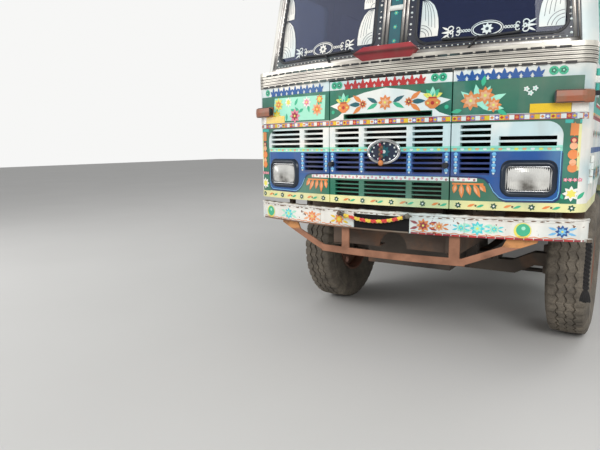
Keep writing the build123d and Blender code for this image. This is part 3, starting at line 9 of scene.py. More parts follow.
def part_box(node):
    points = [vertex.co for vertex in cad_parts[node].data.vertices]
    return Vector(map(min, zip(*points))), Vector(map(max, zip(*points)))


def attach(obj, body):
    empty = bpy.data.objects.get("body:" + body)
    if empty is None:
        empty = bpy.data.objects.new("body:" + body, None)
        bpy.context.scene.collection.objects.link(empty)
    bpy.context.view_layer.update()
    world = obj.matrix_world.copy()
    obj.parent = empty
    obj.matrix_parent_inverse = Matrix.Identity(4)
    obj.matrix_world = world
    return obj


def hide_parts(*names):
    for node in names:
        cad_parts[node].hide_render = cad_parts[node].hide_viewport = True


# Decorated haulage truck, metres. It faces -Y, +X is its left side.
# Heights are from the ground; y is measured back from the middle of the cab's face.

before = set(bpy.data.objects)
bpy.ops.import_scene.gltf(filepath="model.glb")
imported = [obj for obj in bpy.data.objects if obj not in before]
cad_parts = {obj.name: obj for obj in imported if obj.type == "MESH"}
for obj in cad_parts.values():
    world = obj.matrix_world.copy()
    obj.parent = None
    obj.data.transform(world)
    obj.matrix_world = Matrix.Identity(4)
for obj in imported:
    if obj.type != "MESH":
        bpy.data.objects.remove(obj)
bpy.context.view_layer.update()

# Driving dimensions, as in the solids
CAB_HALF_WIDTH = 1.090
CAB_LENGTH = 1.850
FACE_RADIUS = 3.610
CORNER_RADIUS = 0.100
SCREEN_Y = 0.100
SCREEN_FOOT_Z = 1.923
RAKE = 0.180
TUMBLEHOME = 0.102
BUMPER_HALF_WIDTH = 1.110
BUMPER_Y = 0.005
BUMPER_RADIUS = 3.215
BUMPER_CORNER = 0.070
TYRE_RADIUS = 0.526
CROWN_HALF_WIDTH = 1.000
CROWN_Y = 0.215
CROWN_CORNER = 0.060
FACE_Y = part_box("cab_rear")[1].y - CAB_LENGTH
FRONT_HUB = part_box("front_tyre_left")
REAR_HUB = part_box("rear_tyres_left")
SIDES = ((1, "left"), (-1, "right"))

# Colours as they show in daylight
PALETTE = {
    "green": "#1E7359",
    "deep_green": "#17523F",
    "aqua": "#35B7A6",
    "leaf": "#37B98C",
    "mint": "#ABEED1",
    "blue": "#12559B",
    "brick": "#B4363E",
    "deep_blue": "#12305F",
    "navy": "#1A2740",
    "light_blue": "#7FC4EE",
    "cyan": "#55D6DC",
    "white": "#F4F2EA",
    "cream": "#EFEBA8",
    "yellow": "#F2C928",
    "lemon": "#F3E86A",
    "orange": "#EE8A45",
    "pale_orange": "#F5B488",
    "red": "#C22A2C",
    "crimson": "#A02434",
    "pink": "#F28CA0",
    "purple": "#8C7DB6",
    "brown": "#6A4A33",
    "rust": "#7A5238",
    "black": "#14161A",
    "teal": "#12606A",
}


def colour(name):
    """Linear colour of a palette name."""
    text = PALETTE[name]
    parts = [int(text[i:i + 2], 16) / 255 for i in (1, 3, 5)]
    return [part / 12.92 if part <= 0.04045 else ((part + 0.055) / 1.055) ** 2.4 for part in parts]


# Materials

class Graph:
    """Node graph of one material."""

    def __init__(self, name):
        self.material = bpy.data.materials.new(name)
        self.material.use_nodes = True
        self.tree = self.material.node_tree
        self.shader = self.tree.nodes["Principled BSDF"]
        self.place = self.tree.nodes.new("ShaderNodeTexCoord").outputs["Object"]

    def feed(self, socket, value):
        if isinstance(value, bpy.types.NodeSocket):
            self.tree.links.new(value, socket)
        elif isinstance(value, (tuple, list)):
            socket.default_value = (*value[:3], 1)
        else:
            socket.default_value = value

    def surface(self, **values):
        for name, value in values.items():
            self.feed(self.shader.inputs[name.replace("_", " ")], value)

    def noise(self, scale, detail=4.0, stretch=(1, 1, 1)):
        mapping = self.tree.nodes.new("ShaderNodeMapping")
        mapping.inputs["Scale"].default_value = stretch
        self.tree.links.new(self.place, mapping.inputs["Vector"])
        node = self.tree.nodes.new("ShaderNodeTexNoise")
        node.inputs["Scale"].default_value = scale
        node.inputs["Detail"].default_value = detail
        self.tree.links.new(mapping.outputs[0], node.inputs["Vector"])
        return node.outputs[0]

    def axis(self, index):
        node = self.tree.nodes.new("ShaderNodeSeparateXYZ")
        self.tree.links.new(self.place, node.inputs[0])
        return node.outputs[index]

    def ramp(self, factor, stops, interpolation="LINEAR"):
        node = self.tree.nodes.new("ShaderNodeValToRGB")
        node.color_ramp.interpolation = interpolation
        elements = node.color_ramp.elements
        while len(elements) > 1:
            elements.remove(elements[-1])
        for index, (position, value) in enumerate(stops):
            element = elements[0] if index == 0 else elements.new(position)
            element.position = position
            element.color = (*value, 1) if len(value) == 3 else value
        self.feed(node.inputs[0], factor)
        return node.outputs[0]

    def level(self, factor, low, high):
        """0 below low, 1 above high."""
        node = self.tree.nodes.new("ShaderNodeMapRange")
        node.inputs["From Min"].default_value = low
        node.inputs["From Max"].default_value = high
        self.feed(node.inputs["Value"], factor)
        return node.outputs[0]

    def math(self, operation, first, second=0.0):
        node = self.tree.nodes.new("ShaderNodeMath")
        node.operation = operation
        self.feed(node.inputs[0], first)
        self.feed(node.inputs[1], second)
        return node.outputs[0]

    def plus(self, first, second):
        return self.math("ADD", first, second)

    def minus(self, first, second):
        return self.math("SUBTRACT", first, second)

    def times(self, first, second):
        return self.math("MULTIPLY", first, second)

    def over(self, first, second):
        return self.math("DIVIDE", first, second)

    def above(self, first, second):
        return self.math("GREATER_THAN", first, second)

    def below(self, first, second):
        return self.math("LESS_THAN", first, second)

    def most(self, first, second):
        return self.math("MAXIMUM", first, second)

    def size(self, value):
        return self.math("ABSOLUTE", value)

    def fraction(self, value):
        return self.math("FRACT", value)

    def mix(self, factor, first, second, blend="MIX"):
        node = self.tree.nodes.new("ShaderNodeMix")
        node.data_type = "RGBA"
        node.blend_type = blend
        self.feed(node.inputs[0], factor)
        for socket, value in ((node.inputs[6], first), (node.inputs[7], second)):
            self.feed(socket, value)
        return node.outputs[2]

    def inside(self, value, low, high):
        """1 between two values, 0 outside them."""
        return self.times(self.above(value, low), self.below(value, high))

    def bump(self, height, strength, distance=0.002):
        node = self.tree.nodes.new("ShaderNodeBump")
        node.inputs["Strength"].default_value = strength
        node.inputs["Distance"].default_value = distance
        self.feed(node.inputs["Height"], height)
        self.feed(self.shader.inputs["Normal"], node.outputs[0])


DUST = (0.30, 0.24, 0.18)
made = {}


def once(name, fill):
    """Material of a name; its graph is filled the first time that the name is asked for."""
    if name not in made:
        made[name] = Graph(name)
        fill(made[name])
    return made[name].material


def weathered(graph, base, dust=0.25, chips=0.0, brush_and_sheen=1.0):
    """Brush paint over a base colour: uneven coats, lighter patches of painted sheen, clouds of dust,
    streaks, chips, uneven gloss.
    """
    coats = graph.level(graph.noise(2.6, 4), 0.44, 0.60)
    base = graph.mix(graph.times(coats, 0.50 * brush_and_sheen), base, (0.50, 0.74, 0.86), "MULTIPLY")
    # Patches screened lighter toward a pale blue-green at random: painted sheen, which also gives the look of
    # brush work.
    painted_sheens = graph.level(graph.noise(1.7, 5), 0.54, 0.68)
    base = graph.mix(graph.times(painted_sheens, 0.16 * brush_and_sheen), base, (0.30, 0.62, 0.58), "SCREEN")
    clouds = graph.noise(3.0, 8)
    streaks = graph.noise(9.0, 5, (1, 1, 0.18))
    grain = graph.noise(160, 3)
    faded = graph.mix(graph.times(graph.level(clouds, 0.42, 0.75), dust), base, DUST)
    streaked = graph.mix(graph.times(graph.level(streaks, 0.50, 0.80), dust), faded, DUST)
    out = streaked
    if chips:
        spots = graph.level(graph.noise(26, 7), 1 - chips, 1.02 - chips)
        out = graph.mix(spots, streaked, (0.20, 0.10, 0.06))
    rough = graph.plus(graph.times(streaks, 0.35), 0.30)
    graph.surface(Base_Color=out, Roughness=rough)
    graph.bump(grain, 0.12, 0.0008)


def paint(name, dust=0.16, chips=0.0):
    """Hand-laid enamel of a palette colour."""
    return once(f"enamel_{name}_{dust}_{chips}", lambda graph: weathered(graph, colour(name), dust, chips))


def plain(name, rgb, roughness, metallic=0.0, bump=0.1, grain=120, spread=0.25, shade=None):
    """Surface with a mottled colour and a fine grain."""
    def fill(graph):
        cloud = graph.level(graph.noise(7, 6), 0.35, 0.70)
        dark = shade or [part * (1 - spread) for part in rgb]
        fine = graph.noise(grain, 4)
        rough = graph.plus(graph.times(fine, 0.2), roughness - 0.1)
        graph.surface(Base_Color=graph.mix(cloud, dark, rgb), Roughness=rough, Metallic=metallic)
        graph.bump(fine, bump)
    return once(name, fill)


def aluminium():
    return plain("aluminium_trim", (0.62, 0.60, 0.57), 0.34, 1.0, 0.08, 90, shade=(0.34, 0.31, 0.28))


def chrome():
    return plain("chrome", (0.72, 0.73, 0.74), 0.16, 1.0, 0.03, 60, shade=(0.50, 0.50, 0.50))


def black_rubber():
    return plain("black_rubber", (0.012, 0.014, 0.020), 0.50, 0, 0.2, 220, shade=(0.026, 0.027, 0.030))


FLUTE_FOOT = 1.817
FLUTE_PITCH = 0.010
FLUTES_TOP = 1.897


def fluted_metal():
    """Worn aluminium in clouds of painted bright highlight, with painted shade in the grooves between its
    level flutes and along a thin line on each.
    """
    def fill(graph):
        above = graph.minus(graph.axis(2), FLUTE_FOOT)
        phase = graph.fraction(graph.over(above, 2 * FLUTE_PITCH))
        line = graph.inside(phase, 0.26, 0.42)
        groove = graph.above(phase, 0.72)
        below = graph.below(graph.axis(2), FLUTES_TOP)
        # Painted shade in the grooves and along a thin line on each flute, below the band's top.
        painted_groove_shade = graph.times(graph.most(groove, graph.times(line, 0.80)), below)
        cloud = graph.level(graph.noise(3.2, 6, (1, 1, 5)), 0.40, 0.62)
        # Clouds between bright cream and grey: painted highlights and reflections on the metal.
        painted_highlight_clouds = graph.mix(cloud, (0.94, 0.90, 0.79), (0.46, 0.42, 0.37))
        tone = graph.mix(graph.times(painted_groove_shade, 0.88), painted_highlight_clouds, (0.030, 0.027, 0.024))
        graph.surface(Base_Color=tone, Roughness=0.28, Metallic=0.50)
    return once("fluted_metal", fill)


def rusty(name, rgb, rust=(0.17, 0.075, 0.035), amount=0.55, roughness=0.7):
    """Old paint over steel with rust blooms and road dust."""
    def fill(graph):
        blooms = graph.level(graph.noise(5.5, 9), 0.62 - amount * 0.2, 0.70)
        dust = graph.level(graph.noise(2.3, 6), 0.38, 0.75)
        rusted = graph.mix(blooms, rgb, rust)
        dusty = graph.mix(graph.times(dust, 0.55), rusted, (0.24, 0.19, 0.145))
        fine = graph.noise(75, 6)
        graph.surface(Base_Color=dusty, Roughness=roughness)
        graph.bump(fine, 0.35, 0.002)
    return once(name, fill)


def tyre_rubber():
    def fill(graph):
        dust = graph.level(graph.noise(9, 7), 0.30, 0.72)
        crumbs = graph.level(graph.noise(95, 6), 0.42, 0.72)
        mud = graph.mix(dust, (0.105, 0.090, 0.072), (0.235, 0.200, 0.155))
        tone = graph.mix(graph.times(crumbs, 0.50), mud, (0.050, 0.044, 0.037))
        graph.surface(Base_Color=tone, Roughness=0.88)
        graph.bump(graph.noise(130, 5), 0.35, 0.0015)
    return once("tyre_rubber", fill)


def planks(name, base, worn, along, pitch):
    """Timber boards: joints across one axis, long grain along another."""
    def fill(graph):
        stretch = [14, 14, 14]
        stretch[along] = 0.7
        grain = graph.noise(3.0, 9, stretch)
        across = graph.axis(0 if along == 1 else 2)
        phase = graph.fraction(graph.over(across, pitch))
        joint = graph.below(phase, 0.035)
        tone = graph.mix(graph.level(grain, 0.3, 0.7), base, worn)
        graph.surface(Base_Color=graph.mix(joint, tone, (0.02, 0.015, 0.012)), Roughness=0.78)
        graph.bump(grain, 0.4, 0.002)
    return once(name, fill)


def glass(name, tint, dust_and_shade_veil=(0.42, 0.38, 0.33), even_shade_veil=0.0, dust=0.10):
    """Window glass with a film of dust in clouds, and an even veil that is painted shade."""
    def fill(graph):
        film = graph.level(graph.noise(4.5, 7), 0.45, 0.85)
        graph.surface(Base_Color=tint, Roughness=graph.times(film, 0.35), IOR=1.45)
        graph.surface(Transmission_Weight=1.0)
        matt = graph.tree.nodes.new("ShaderNodeBsdfDiffuse")
        graph.feed(matt.inputs["Color"], dust_and_shade_veil)
        both = graph.tree.nodes.new("ShaderNodeMixShader")
        # Mix of the veil: dust in clouds, plus an even share that is painted shade.
        graph.feed(both.inputs[0], graph.plus(graph.times(film, dust), even_shade_veil))
        graph.tree.links.new(graph.shader.outputs[0], both.inputs[1])
        graph.tree.links.new(matt.outputs[0], both.inputs[2])
        graph.tree.links.new(both.outputs[0], graph.tree.nodes["Material Output"].inputs[0])
    return once(name, fill)


# Height bands of the painted face: (from this height up, palette colour)
FACE_BANDS = (
    (1.000, "cream"),
    (1.075, "green"),
    (1.187, "green"),
    (1.214, "blue"),
    (1.357, "mint"),
    (1.387, "white"),
    (1.518, "green"),
    (1.525, "white"),
    (1.560, "green"),
    (1.747, "white"),
    (1.811, "white"),
)
BAND_EDGE_X = 0.968
CORNER_EDGE_X = 1.048
PANEL_CORNER = (0.888, 1.438, 0.080)
SLAT_SPANS = ((0.0, 0.140), (0.176, 0.355), (0.451, 0.614))
SLAT_Z = (1.226, 1.352)
# Navy, darker than the blue band: painted shade in the louvres.
LOUVRE_SHADE_BLUE = (0.010, 0.040, 0.185)
FIELD_Z = (1.075, 1.525)
# Strength of the uneven coats and of the painted sheen on the face
FACE_BRUSH_AND_SHEEN = 1.6
BAND_LOW = 1.0
BAND_HIGH = 2.0


def banded(graph, bands, edge_x=None, brush_and_sheen=1.0):
    """Enamel in level bands; with an edge, the face's other fields are laid over them."""
    height = graph.level(graph.axis(2), BAND_LOW, BAND_HIGH)
    stops = [((z - BAND_LOW) / (BAND_HIGH - BAND_LOW), colour(name)) for z, name in bands]
    base = graph.ramp(height, stops, "CONSTANT")
    if edge_x:
        base = face_fields(graph, base, edge_x)
    weathered(graph, base, 0.24, 0.12, brush_and_sheen)


def face_fields(graph, base, edge_x):
    """Green past the ends and rounded corners of the middle bands, the white corner, and dark navy over the
    louvres, which is painted shade.
    """
    low, high = FIELD_Z
    across = graph.size(graph.axis(0))
    outside = graph.above(across, edge_x)
    region = graph.times(outside, graph.inside(graph.axis(2), low, high))
    base = graph.mix(region, base, colour("green"))
    centre_x, centre_z, radius = PANEL_CORNER
    du = graph.most(graph.minus(across, centre_x), 0.0)
    dv = graph.most(graph.minus(graph.axis(2), centre_z), 0.0)
    reach = graph.plus(graph.times(du, du), graph.times(dv, dv))
    rounded_off = graph.times(graph.above(reach, radius ** 2), graph.inside(graph.axis(2), centre_z, high))
    base = graph.mix(rounded_off, base, colour("green"))
    corner = graph.times(graph.above(across, CORNER_EDGE_X), graph.above(graph.axis(2), low))
    base = graph.mix(corner, base, colour("white"))
    # Painted shade: the louvre spans are laid over in dark navy.
    louvre_shade = graph.below(across, SLAT_SPANS[0][1])
    for inner, outer in SLAT_SPANS[1:]:
        louvre_shade = graph.most(louvre_shade, graph.inside(across, inner, outer))
    louvre_shade = graph.times(louvre_shade, graph.inside(graph.axis(2), *SLAT_Z))
    return graph.mix(louvre_shade, base, LOUVRE_SHADE_BLUE)


def face_paint():
    return once("face_enamel", lambda graph: banded(graph, FACE_BANDS, BAND_EDGE_X, FACE_BRUSH_AND_SHEEN))


DOOR_BANDS = (
    (1.000, "cream"),
    (1.075, "white"),
    (1.340, "blue"),
    (1.372, "white"),
    (1.527, "crimson"),
    (1.545, "yellow"),
    (1.560, "aqua"),
    (1.790, "white"),
    (1.830, "aqua"),
)


def side_paint():
    return once("side_enamel", lambda graph: banded(graph, DOOR_BANDS))


# Mesh helpers

def circle(count):
    """Cosine and sine at equal steps round a circle."""
    return [(cos(2 * pi * index / count), sin(2 * pi * index / count)) for index in range(count)]


def spaced(u0, u1, count):
    """Number and middle of each of the equal steps between two positions."""
    return [(index, u0 + (u1 - u0) * (index + 0.5) / count) for index in range(count)]


def one_side(side, near, far):
    """Two distances from the middle as positions on one side, the lower one first."""
    return sorted((side * near, side * far))


def heading(side, angle=0):
    """Direction of a stroke, mirrored on the right side."""
    return angle if side > 0 else pi - angle


def skin(bm, rings, around=True, along=False, material=0, flip=False):
    """Faces between each ring of points and the next; around and along close the rings and their row."""
    for first, second in zip(rings, rings[1:] + rings[:1] if along else rings[1:]):
        count = len(first)
        for index in range(count if around else count - 1):
            after = (index + 1) % count
            corners = (first[index], first[after], second[after], second[index])
            if flip:
                corners = (first[index], second[index], second[after], first[after])
            bm.faces.new(corners).material_index = material


def finish_bmesh(name, bm, body, materials, smooth=False):
    """New object from a bmesh whose faces carry their material numbers; it rides on a body."""
    mesh = bpy.data.meshes.new(name)
    bm.to_mesh(mesh)
    bm.free()
    for material in materials:
        mesh.materials.append(material)
    for polygon in mesh.polygons:
        polygon.use_smooth = smooth
    item = bpy.data.objects.new(name, mesh)
    bpy.context.collection.objects.link(item)
    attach(item, body)
    return item


# Cords: the garland before the bumper and the braid under its left end

# Route points, metres: x, y back from the face, z
GARLAND_ROUTE = (
    (-0.312, 0.0061, 0.957),
    (-0.230, -0.0008, 0.937),
    (-0.130, -0.0064, 0.925),
    (-0.040, -0.0088, 0.924),
    (0.060, -0.0084, 0.938),
    (0.150, -0.0055, 0.968),
)
BRAID_ROUTE = (
    (1.118, 0.205, 0.864),
    (1.122, 0.204, 0.790),
    (1.117, 0.203, 0.700),
    (1.119, 0.205, 0.620),
)
TASSEL_LOCKS = 14
TASSEL_PROFILE = (
    (0.0, 0.013), (0.006, 0.0165), (0.016, 0.0165), (0.022, 0.0115), (0.027, 0.0115), (0.036, 0.0170),
    (0.060, 0.0225), (0.078, 0.0255), (0.0895, 0.0265),
)


def cord_line(name, route):
    """Points read from the smooth line of a route."""
    curve = bpy.data.curves.new(name, "CURVE")
    curve.dimensions = "3D"
    curve.resolution_u = 24
    spline = curve.splines.new("NURBS")
    spline.points.add(len(route) - 1)
    for point, (x, y, z) in zip(spline.points, route):
        point.co = (x, y + FACE_Y, z, 1)
    spline.order_u = 3
    spline.use_endpoint_u = True
    item = bpy.data.objects.new(name, curve)
    mesh = bpy.data.meshes.new_from_object(item)
    points = [vertex.co.copy() for vertex in mesh.vertices]
    bpy.data.objects.remove(item)
    bpy.data.meshes.remove(mesh)
    bpy.data.curves.remove(curve)
    return points


def strand(bm, points, offset, radius, turns, phase, sides=10, aside=Vector((0, 1, 0))):
    """Strand that winds about a line, with closed ends."""
    travelled = [0.0]
    for before, after in zip(points, points[1:]):
        travelled.append(travelled[-1] + (after - before).length)
    rings = []
    last = len(points) - 1
    for index, point in enumerate(points):
        ahead = (points[min(index + 1, last)] - points[max(index - 1, 0)]).normalized()
        across = ahead.cross(aside).normalized()
        up = across.cross(ahead)
        angle = phase + 2 * pi * turns * travelled[index] / travelled[-1]
        centre = point + across * offset * cos(angle) + up * offset * sin(angle)
        ring = [centre + across * radius * c + up * radius * s for c, s in circle(sides)]
        rings.append([bm.verts.new(corner) for corner in ring])
    skin(bm, rings)
    bm.faces.new(rings[0][::-1])
    bm.faces.new(rings[-1])


def black_hair():
    """Twisted hair: fine level threads with loose fluff."""
    def fill(graph):
        threads = graph.noise(420, 3, (1, 1, 0.4))
        clouds = graph.level(graph.noise(30, 5), 0.36, 0.66)
        tone = graph.mix(clouds, (0.007, 0.006, 0.006), (0.016, 0.014, 0.014))
        graph.surface(Base_Color=tone, Roughness=0.90, Sheen_Weight=0.1)
        graph.bump(threads, 0.6, 0.002)
    return once("black_hair", fill)


def twisted(name, route, offset, radius, turns, cloth):
    """Piece of three strands wound about a route, and the points of its line."""
    points = cord_line(f"{name}_line", route)
    bm = bmesh.new()
    for number in range(3):
        strand(bm, points, offset, radius, turns, 2 * pi * number / 3)
    return finish_bmesh(name, bm, "chassis", [cloth], True), points


def garland():
    """Twisted cloth garland of red and yellow, with black ends, tied to the bumper."""
    cloth = garland_cloth()
    item, points = twisted("garland_twist", GARLAND_ROUTE, 0.0055, 0.0068, 5.5, cloth)
    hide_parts("garland")
    tuple(points[0])
    [tuple(point) for point in points]


GARLAND_PITCH = 0.076
GARLAND_Z = 0.94
GARLAND_SHIFT_X = 0.075
GARLAND_COLOURED = 0.205


def garland_cloth():
    """Red and yellow lengths of cloth by turns, black toward both ends."""
    def fill(graph):
        phase = graph.fraction(graph.over(graph.plus(graph.axis(0), 1.0), GARLAND_PITCH))
        slant = graph.times(graph.minus(graph.axis(2), GARLAND_Z), 6.0)
        phase = graph.fraction(graph.plus(phase, slant))
        base = graph.mix(graph.above(phase, 0.52), (0.70, 0.030, 0.020), (0.86, 0.62, 0.040))
        middle = graph.size(graph.plus(graph.axis(0), GARLAND_SHIFT_X))
        base = graph.mix(graph.above(middle, GARLAND_COLOURED), base, (0.020, 0.018, 0.018))
        worn = graph.level(graph.noise(60, 5), 0.44, 0.70)
        tone = graph.mix(graph.times(worn, 0.28), base, DUST)
        graph.surface(Base_Color=tone, Roughness=0.85, Sheen_Weight=0.4)
        graph.bump(graph.noise(380, 3), 0.5, 0.0015)
    return once("garland_cloth", fill)


def braid():
    """Three-strand black braid that hangs from the bumper, and the tassel at its foot."""
    item, points = twisted("braid_plait", BRAID_ROUTE, 0.0080, 0.0088, 3.5, black_hair())
    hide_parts("braid")
    tassel = tassel_mesh(points[-1])
    tuple(points[0])
    [tuple(point) for point in points]


def tassel_mesh(end):
    """Bound knot and a skirt of loose locks."""
    bm = bmesh.new()
    count = TASSEL_LOCKS * 4
    rings = []
    for depth, radius in TASSEL_PROFILE:
        fold = 0.10 * min(1.0, max(0.0, (depth - 0.024) / 0.03))
        ring = []
        for corner in range(count):
            angle = 2 * pi * corner / count
            reach = radius * (1 + fold * cos(angle * TASSEL_LOCKS))
            lift = 0.006 * sin(angle * 5) if depth > 0.089 else 0.0
            z = end.z - depth + max(0.0, lift)
            ring.append(bm.verts.new((end.x + reach * cos(angle), end.y + reach * sin(angle), z)))
        rings.append(ring)
    skin(bm, rings, flip=True)
    bm.faces.new(rings[0])
    bm.faces.new(rings[-1][::-1])
    item = finish_bmesh("tassel", bm, "chassis", [black_hair()], True)
    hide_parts("braid_tassel")
    return item


# Surfaces that carry paint: each maps (u, v, lift) to a point of the row frame

def plan_point(x, lift, half_width, front_y, radius, corner):
    """Point of a wide arc with rounded corners, lifted off its surface."""
    side = -1 if x < 0 else 1
    centre_y = front_y + radius
    corner_x = half_width - corner
    corner_y = centre_y - sqrt((radius - corner) ** 2 - corner_x ** 2)
    tangent_x = corner_x * radius / (radius - corner)
    across = min(abs(x), half_width)
    if across <= tangent_x:
        reach = (radius + lift) / radius
        return side * across * reach, centre_y - sqrt(radius ** 2 - across ** 2) * reach
    offset = across - corner_x
    reach = (corner + lift) / corner
    return side * (corner_x + offset * reach), corner_y - sqrt(max(0.0, corner ** 2 - offset ** 2)) * reach


def on_face(u, v, lift):
    x, y = plan_point(u, lift, CAB_HALF_WIDTH, 0, FACE_RADIUS, CORNER_RADIUS)
    return x, y + FACE_Y, v


def on_bumper(u, v, lift):
    x, y = plan_point(u, lift, BUMPER_HALF_WIDTH, BUMPER_Y, BUMPER_RADIUS, BUMPER_CORNER)
    return x, y + FACE_Y, v


def on_screen(u, v, lift):
    """Leaning window zone; u is the distance from the middle at the sill."""
    rise = v - SCREEN_FOOT_Z
    half = CAB_HALF_WIDTH - TUMBLEHOME * rise
    x, y = plan_point(u, lift, half, SCREEN_Y + RAKE * rise, FACE_RADIUS, CORNER_RADIUS)
    return x, y + FACE_Y, v


def on_flank(side):
    """Side of the cab, which leans in above the waist; u runs back from the face."""
    def place(u, v, lift):
        lean = TUMBLEHOME * max(0.0, v - SCREEN_FOOT_Z)
        return side * (CAB_HALF_WIDTH - lean + lift), u + FACE_Y, v
    return place


def on_wall(side, depth):
    """Board of the load body's side; u runs back from the face."""
    def place(u, v, lift):
        return side * (depth + lift), u + FACE_Y, v
    return place


def on_rear(depth):
    """Upright plane that looks to the rear."""
    def place(u, v, lift):
        return -u, FACE_Y + depth + lift, v
    return place


def on_crown(u, v, lift):
    x, y = plan_point(u, lift, CROWN_HALF_WIDTH, CROWN_Y, FACE_RADIUS, CROWN_CORNER)
    return x, y + FACE_Y, v


LEAF = ((0, 0), (0.2, 0.7), (0.45, 1), (0.75, 0.6), (1, 0), (0.75, -0.6), (0.45, -1), (0.2, -0.7))


class Picture:
    """Painted shapes of one body, laid on a surface in thin layers."""

    def __init__(self, name, body, surface, step=0.05, base=0.0012):
        self.name = name
        self.body = body
        self.surface = surface
        self.step = step
        self.base = base
        self.colours = []
        self.bm = bmesh.new()

    def shape(self, points, tone, layer=0):
        """Filled outline."""
        if tone not in self.colours:
            self.colours.append(tone)
        corners = [self.bm.verts.new((u, v, self.base + 0.0007 * layer)) for u, v in points]
        face = self.bm.faces.new(corners)
        face.material_index = self.colours.index(tone)

    def bar(self, u0, u1, v0, v1, tone, layer=0):
        self.shape([(u0, v0), (u1, v0), (u1, v1), (u0, v1)], tone, layer)

    def disc(self, u, v, radius, tone, layer=0, sides=14, squash=1.0):
        self.shape([(u + radius * c, v + radius * squash * s) for c, s in circle(sides)], tone, layer)

    def leaf(self, u, v, length, width, angle, tone, layer=0):
        """Pointed leaf that starts at a point and runs in a direction."""
        c, s = cos(angle), sin(angle)
        points = []
        for along, across in LEAF:
            a = along * length
            b = across * width / 2
            points.append((u + a * c - b * s, v + a * s + b * c))
        self.shape(points, tone, layer)

    def flower(self, u, v, radius, petals, tone, heart, layer=0, turn=0.0):
        for index in range(petals):
            angle = turn + 2 * pi * index / petals
            self.leaf(u, v, radius, radius * 3.2 / petals + radius * 0.15, angle, tone, layer)
        self.disc(u, v, radius * 0.27, heart, layer + 1)

    def stroke(self, points, width, tone, layer=0):
        """Brush line through points."""
        for (u0, v0), (u1, v1) in zip(points, points[1:]):
            du, dv = u1 - u0, v1 - v0
            run = sqrt(du * du + dv * dv)
            nu, nv = -dv / run * width / 2, du / run * width / 2
            corners = [(u0 + nu, v0 + nv), (u0 - nu, v0 - nv), (u1 - nu, v1 - nv), (u1 + nu, v1 + nv)]
            self.shape(corners, tone, layer)

    def wave(self, u0, u1, v, swing, period, width, tone, layer=0):
        """Vine line that swings about a level."""
        count = max(4, int(abs(u1 - u0) / period * 8))
        points = []
        for index in range(count + 1):
            u = u0 + (u1 - u0) * index / count
            points.append((u, v + swing * sin(2 * pi * (u - u0) / period)))
        self.stroke(points, width, tone, layer)

    def lay(self):
        """Bends the flat shapes onto the surface and makes the piece."""
        bm = self.bm
        low = min(vertex.co.x for vertex in bm.verts)
        high = max(vertex.co.x for vertex in bm.verts)
        cut = low + self.step
        while self.step and cut < high:
            geometry = bm.verts[:] + bm.edges[:] + bm.faces[:]
            bmesh.ops.bisect_plane(bm, geom=geometry, plane_co=(cut, 0, 0), plane_no=(1, 0, 0))
            cut += self.step
        bmesh.ops.triangulate(bm, faces=bm.faces[:], ngon_method="EAR_CLIP")
        for vertex in bm.verts:
            vertex.co = self.surface(vertex.co.x, vertex.co.y, vertex.co.z)
        bm.normal_update()
        materials = [paint(tone, 0.10) for tone in self.colours]
        return finish_bmesh(self.name, bm, self.body, materials)


# Ornament of the face

STRIP_COLOURS = (
    "orange", "yellow", "white", "purple", "yellow", "orange", "white", "red", "purple", "white",
)
STRIP_PITCH = 0.024
FLAP_EDGE_X = 0.394
COWL_EDGE_X = 0.404
MINT_Z = 1.372
NAME_Z = 1.779
STRIP_Z = (1.527, 1.559)
HEM_Z = 1.0515
HEM_PITCH = 0.098


def strip_colour(number):
    return STRIP_COLOURS[number % len(STRIP_COLOURS)]


def colour_strip(picture, u0, u1, start):
    """Row of small many-coloured lozenges under the picture band."""
    low, high = STRIP_Z
    middle = (low + high) / 2
    count = int((u1 - u0) / STRIP_PITCH)
    half = (u1 - u0) / count / 2
    for index, u in spaced(u0, u1, count):
        picture.bar(u - half, u + half, low + 0.004, high - 0.004, strip_colour(index + start))
        lozenge = [(u - 0.010, middle), (u, low + 0.007), (u + 0.010, middle), (u, high - 0.007)]
        picture.shape(lozenge, strip_colour(index + start + 3), 1)
    picture.bar(u0, u1, high - 0.003, high, "crimson", 1)
    picture.bar(u0, u1, low, low + 0.003, "crimson", 1)


def hem(picture, u0, u1):
    """Flowers and leaf strokes along the cream strip at the foot of the face."""
    for index, u in spaced(u0, u1, max(1, round((u1 - u0) / HEM_PITCH))):
        if index % 2 == 0:
            picture.flower(u, HEM_Z, 0.019, 6, "deep_green", "white", 1, 0.3)
        else:
            picture.leaf(u - 0.045, HEM_Z - 0.006, 0.045, 0.014, 0.35, "orange", 0)
            picture.leaf(u + 0.045, HEM_Z + 0.006, 0.045, 0.014, pi + 0.35, "leaf", 0)
            picture.disc(u, HEM_Z, 0.006, "brown", 1, 8)


def mint_strip(picture, u0, u1):
    """Dabs along the thin strip under the grille."""
    for index, u in spaced(u0, u1, int((u1 - u0) / 0.04)):
        picture.disc(u, MINT_Z, 0.011, ("pale_orange", "white", "lemon")[index % 3], 0, 8, 0.7)


PINK_Z = (1.189, 1.212)


def pink_strip(picture, u0, u1):
    """White strip with small pink flowers over the lower grille."""
    low, high = PINK_Z
    picture.bar(u0, u1, low, high, "white")
    for index, u in spaced(u0, u1, int(abs(u1 - u0) / 0.027)):
        picture.flower(u, (low + high) / 2 + (0.003 if index % 2 else -0.003), 0.0085, 5,
                       ("pink", "crimson", "pink")[index % 3], "white", 1, index)


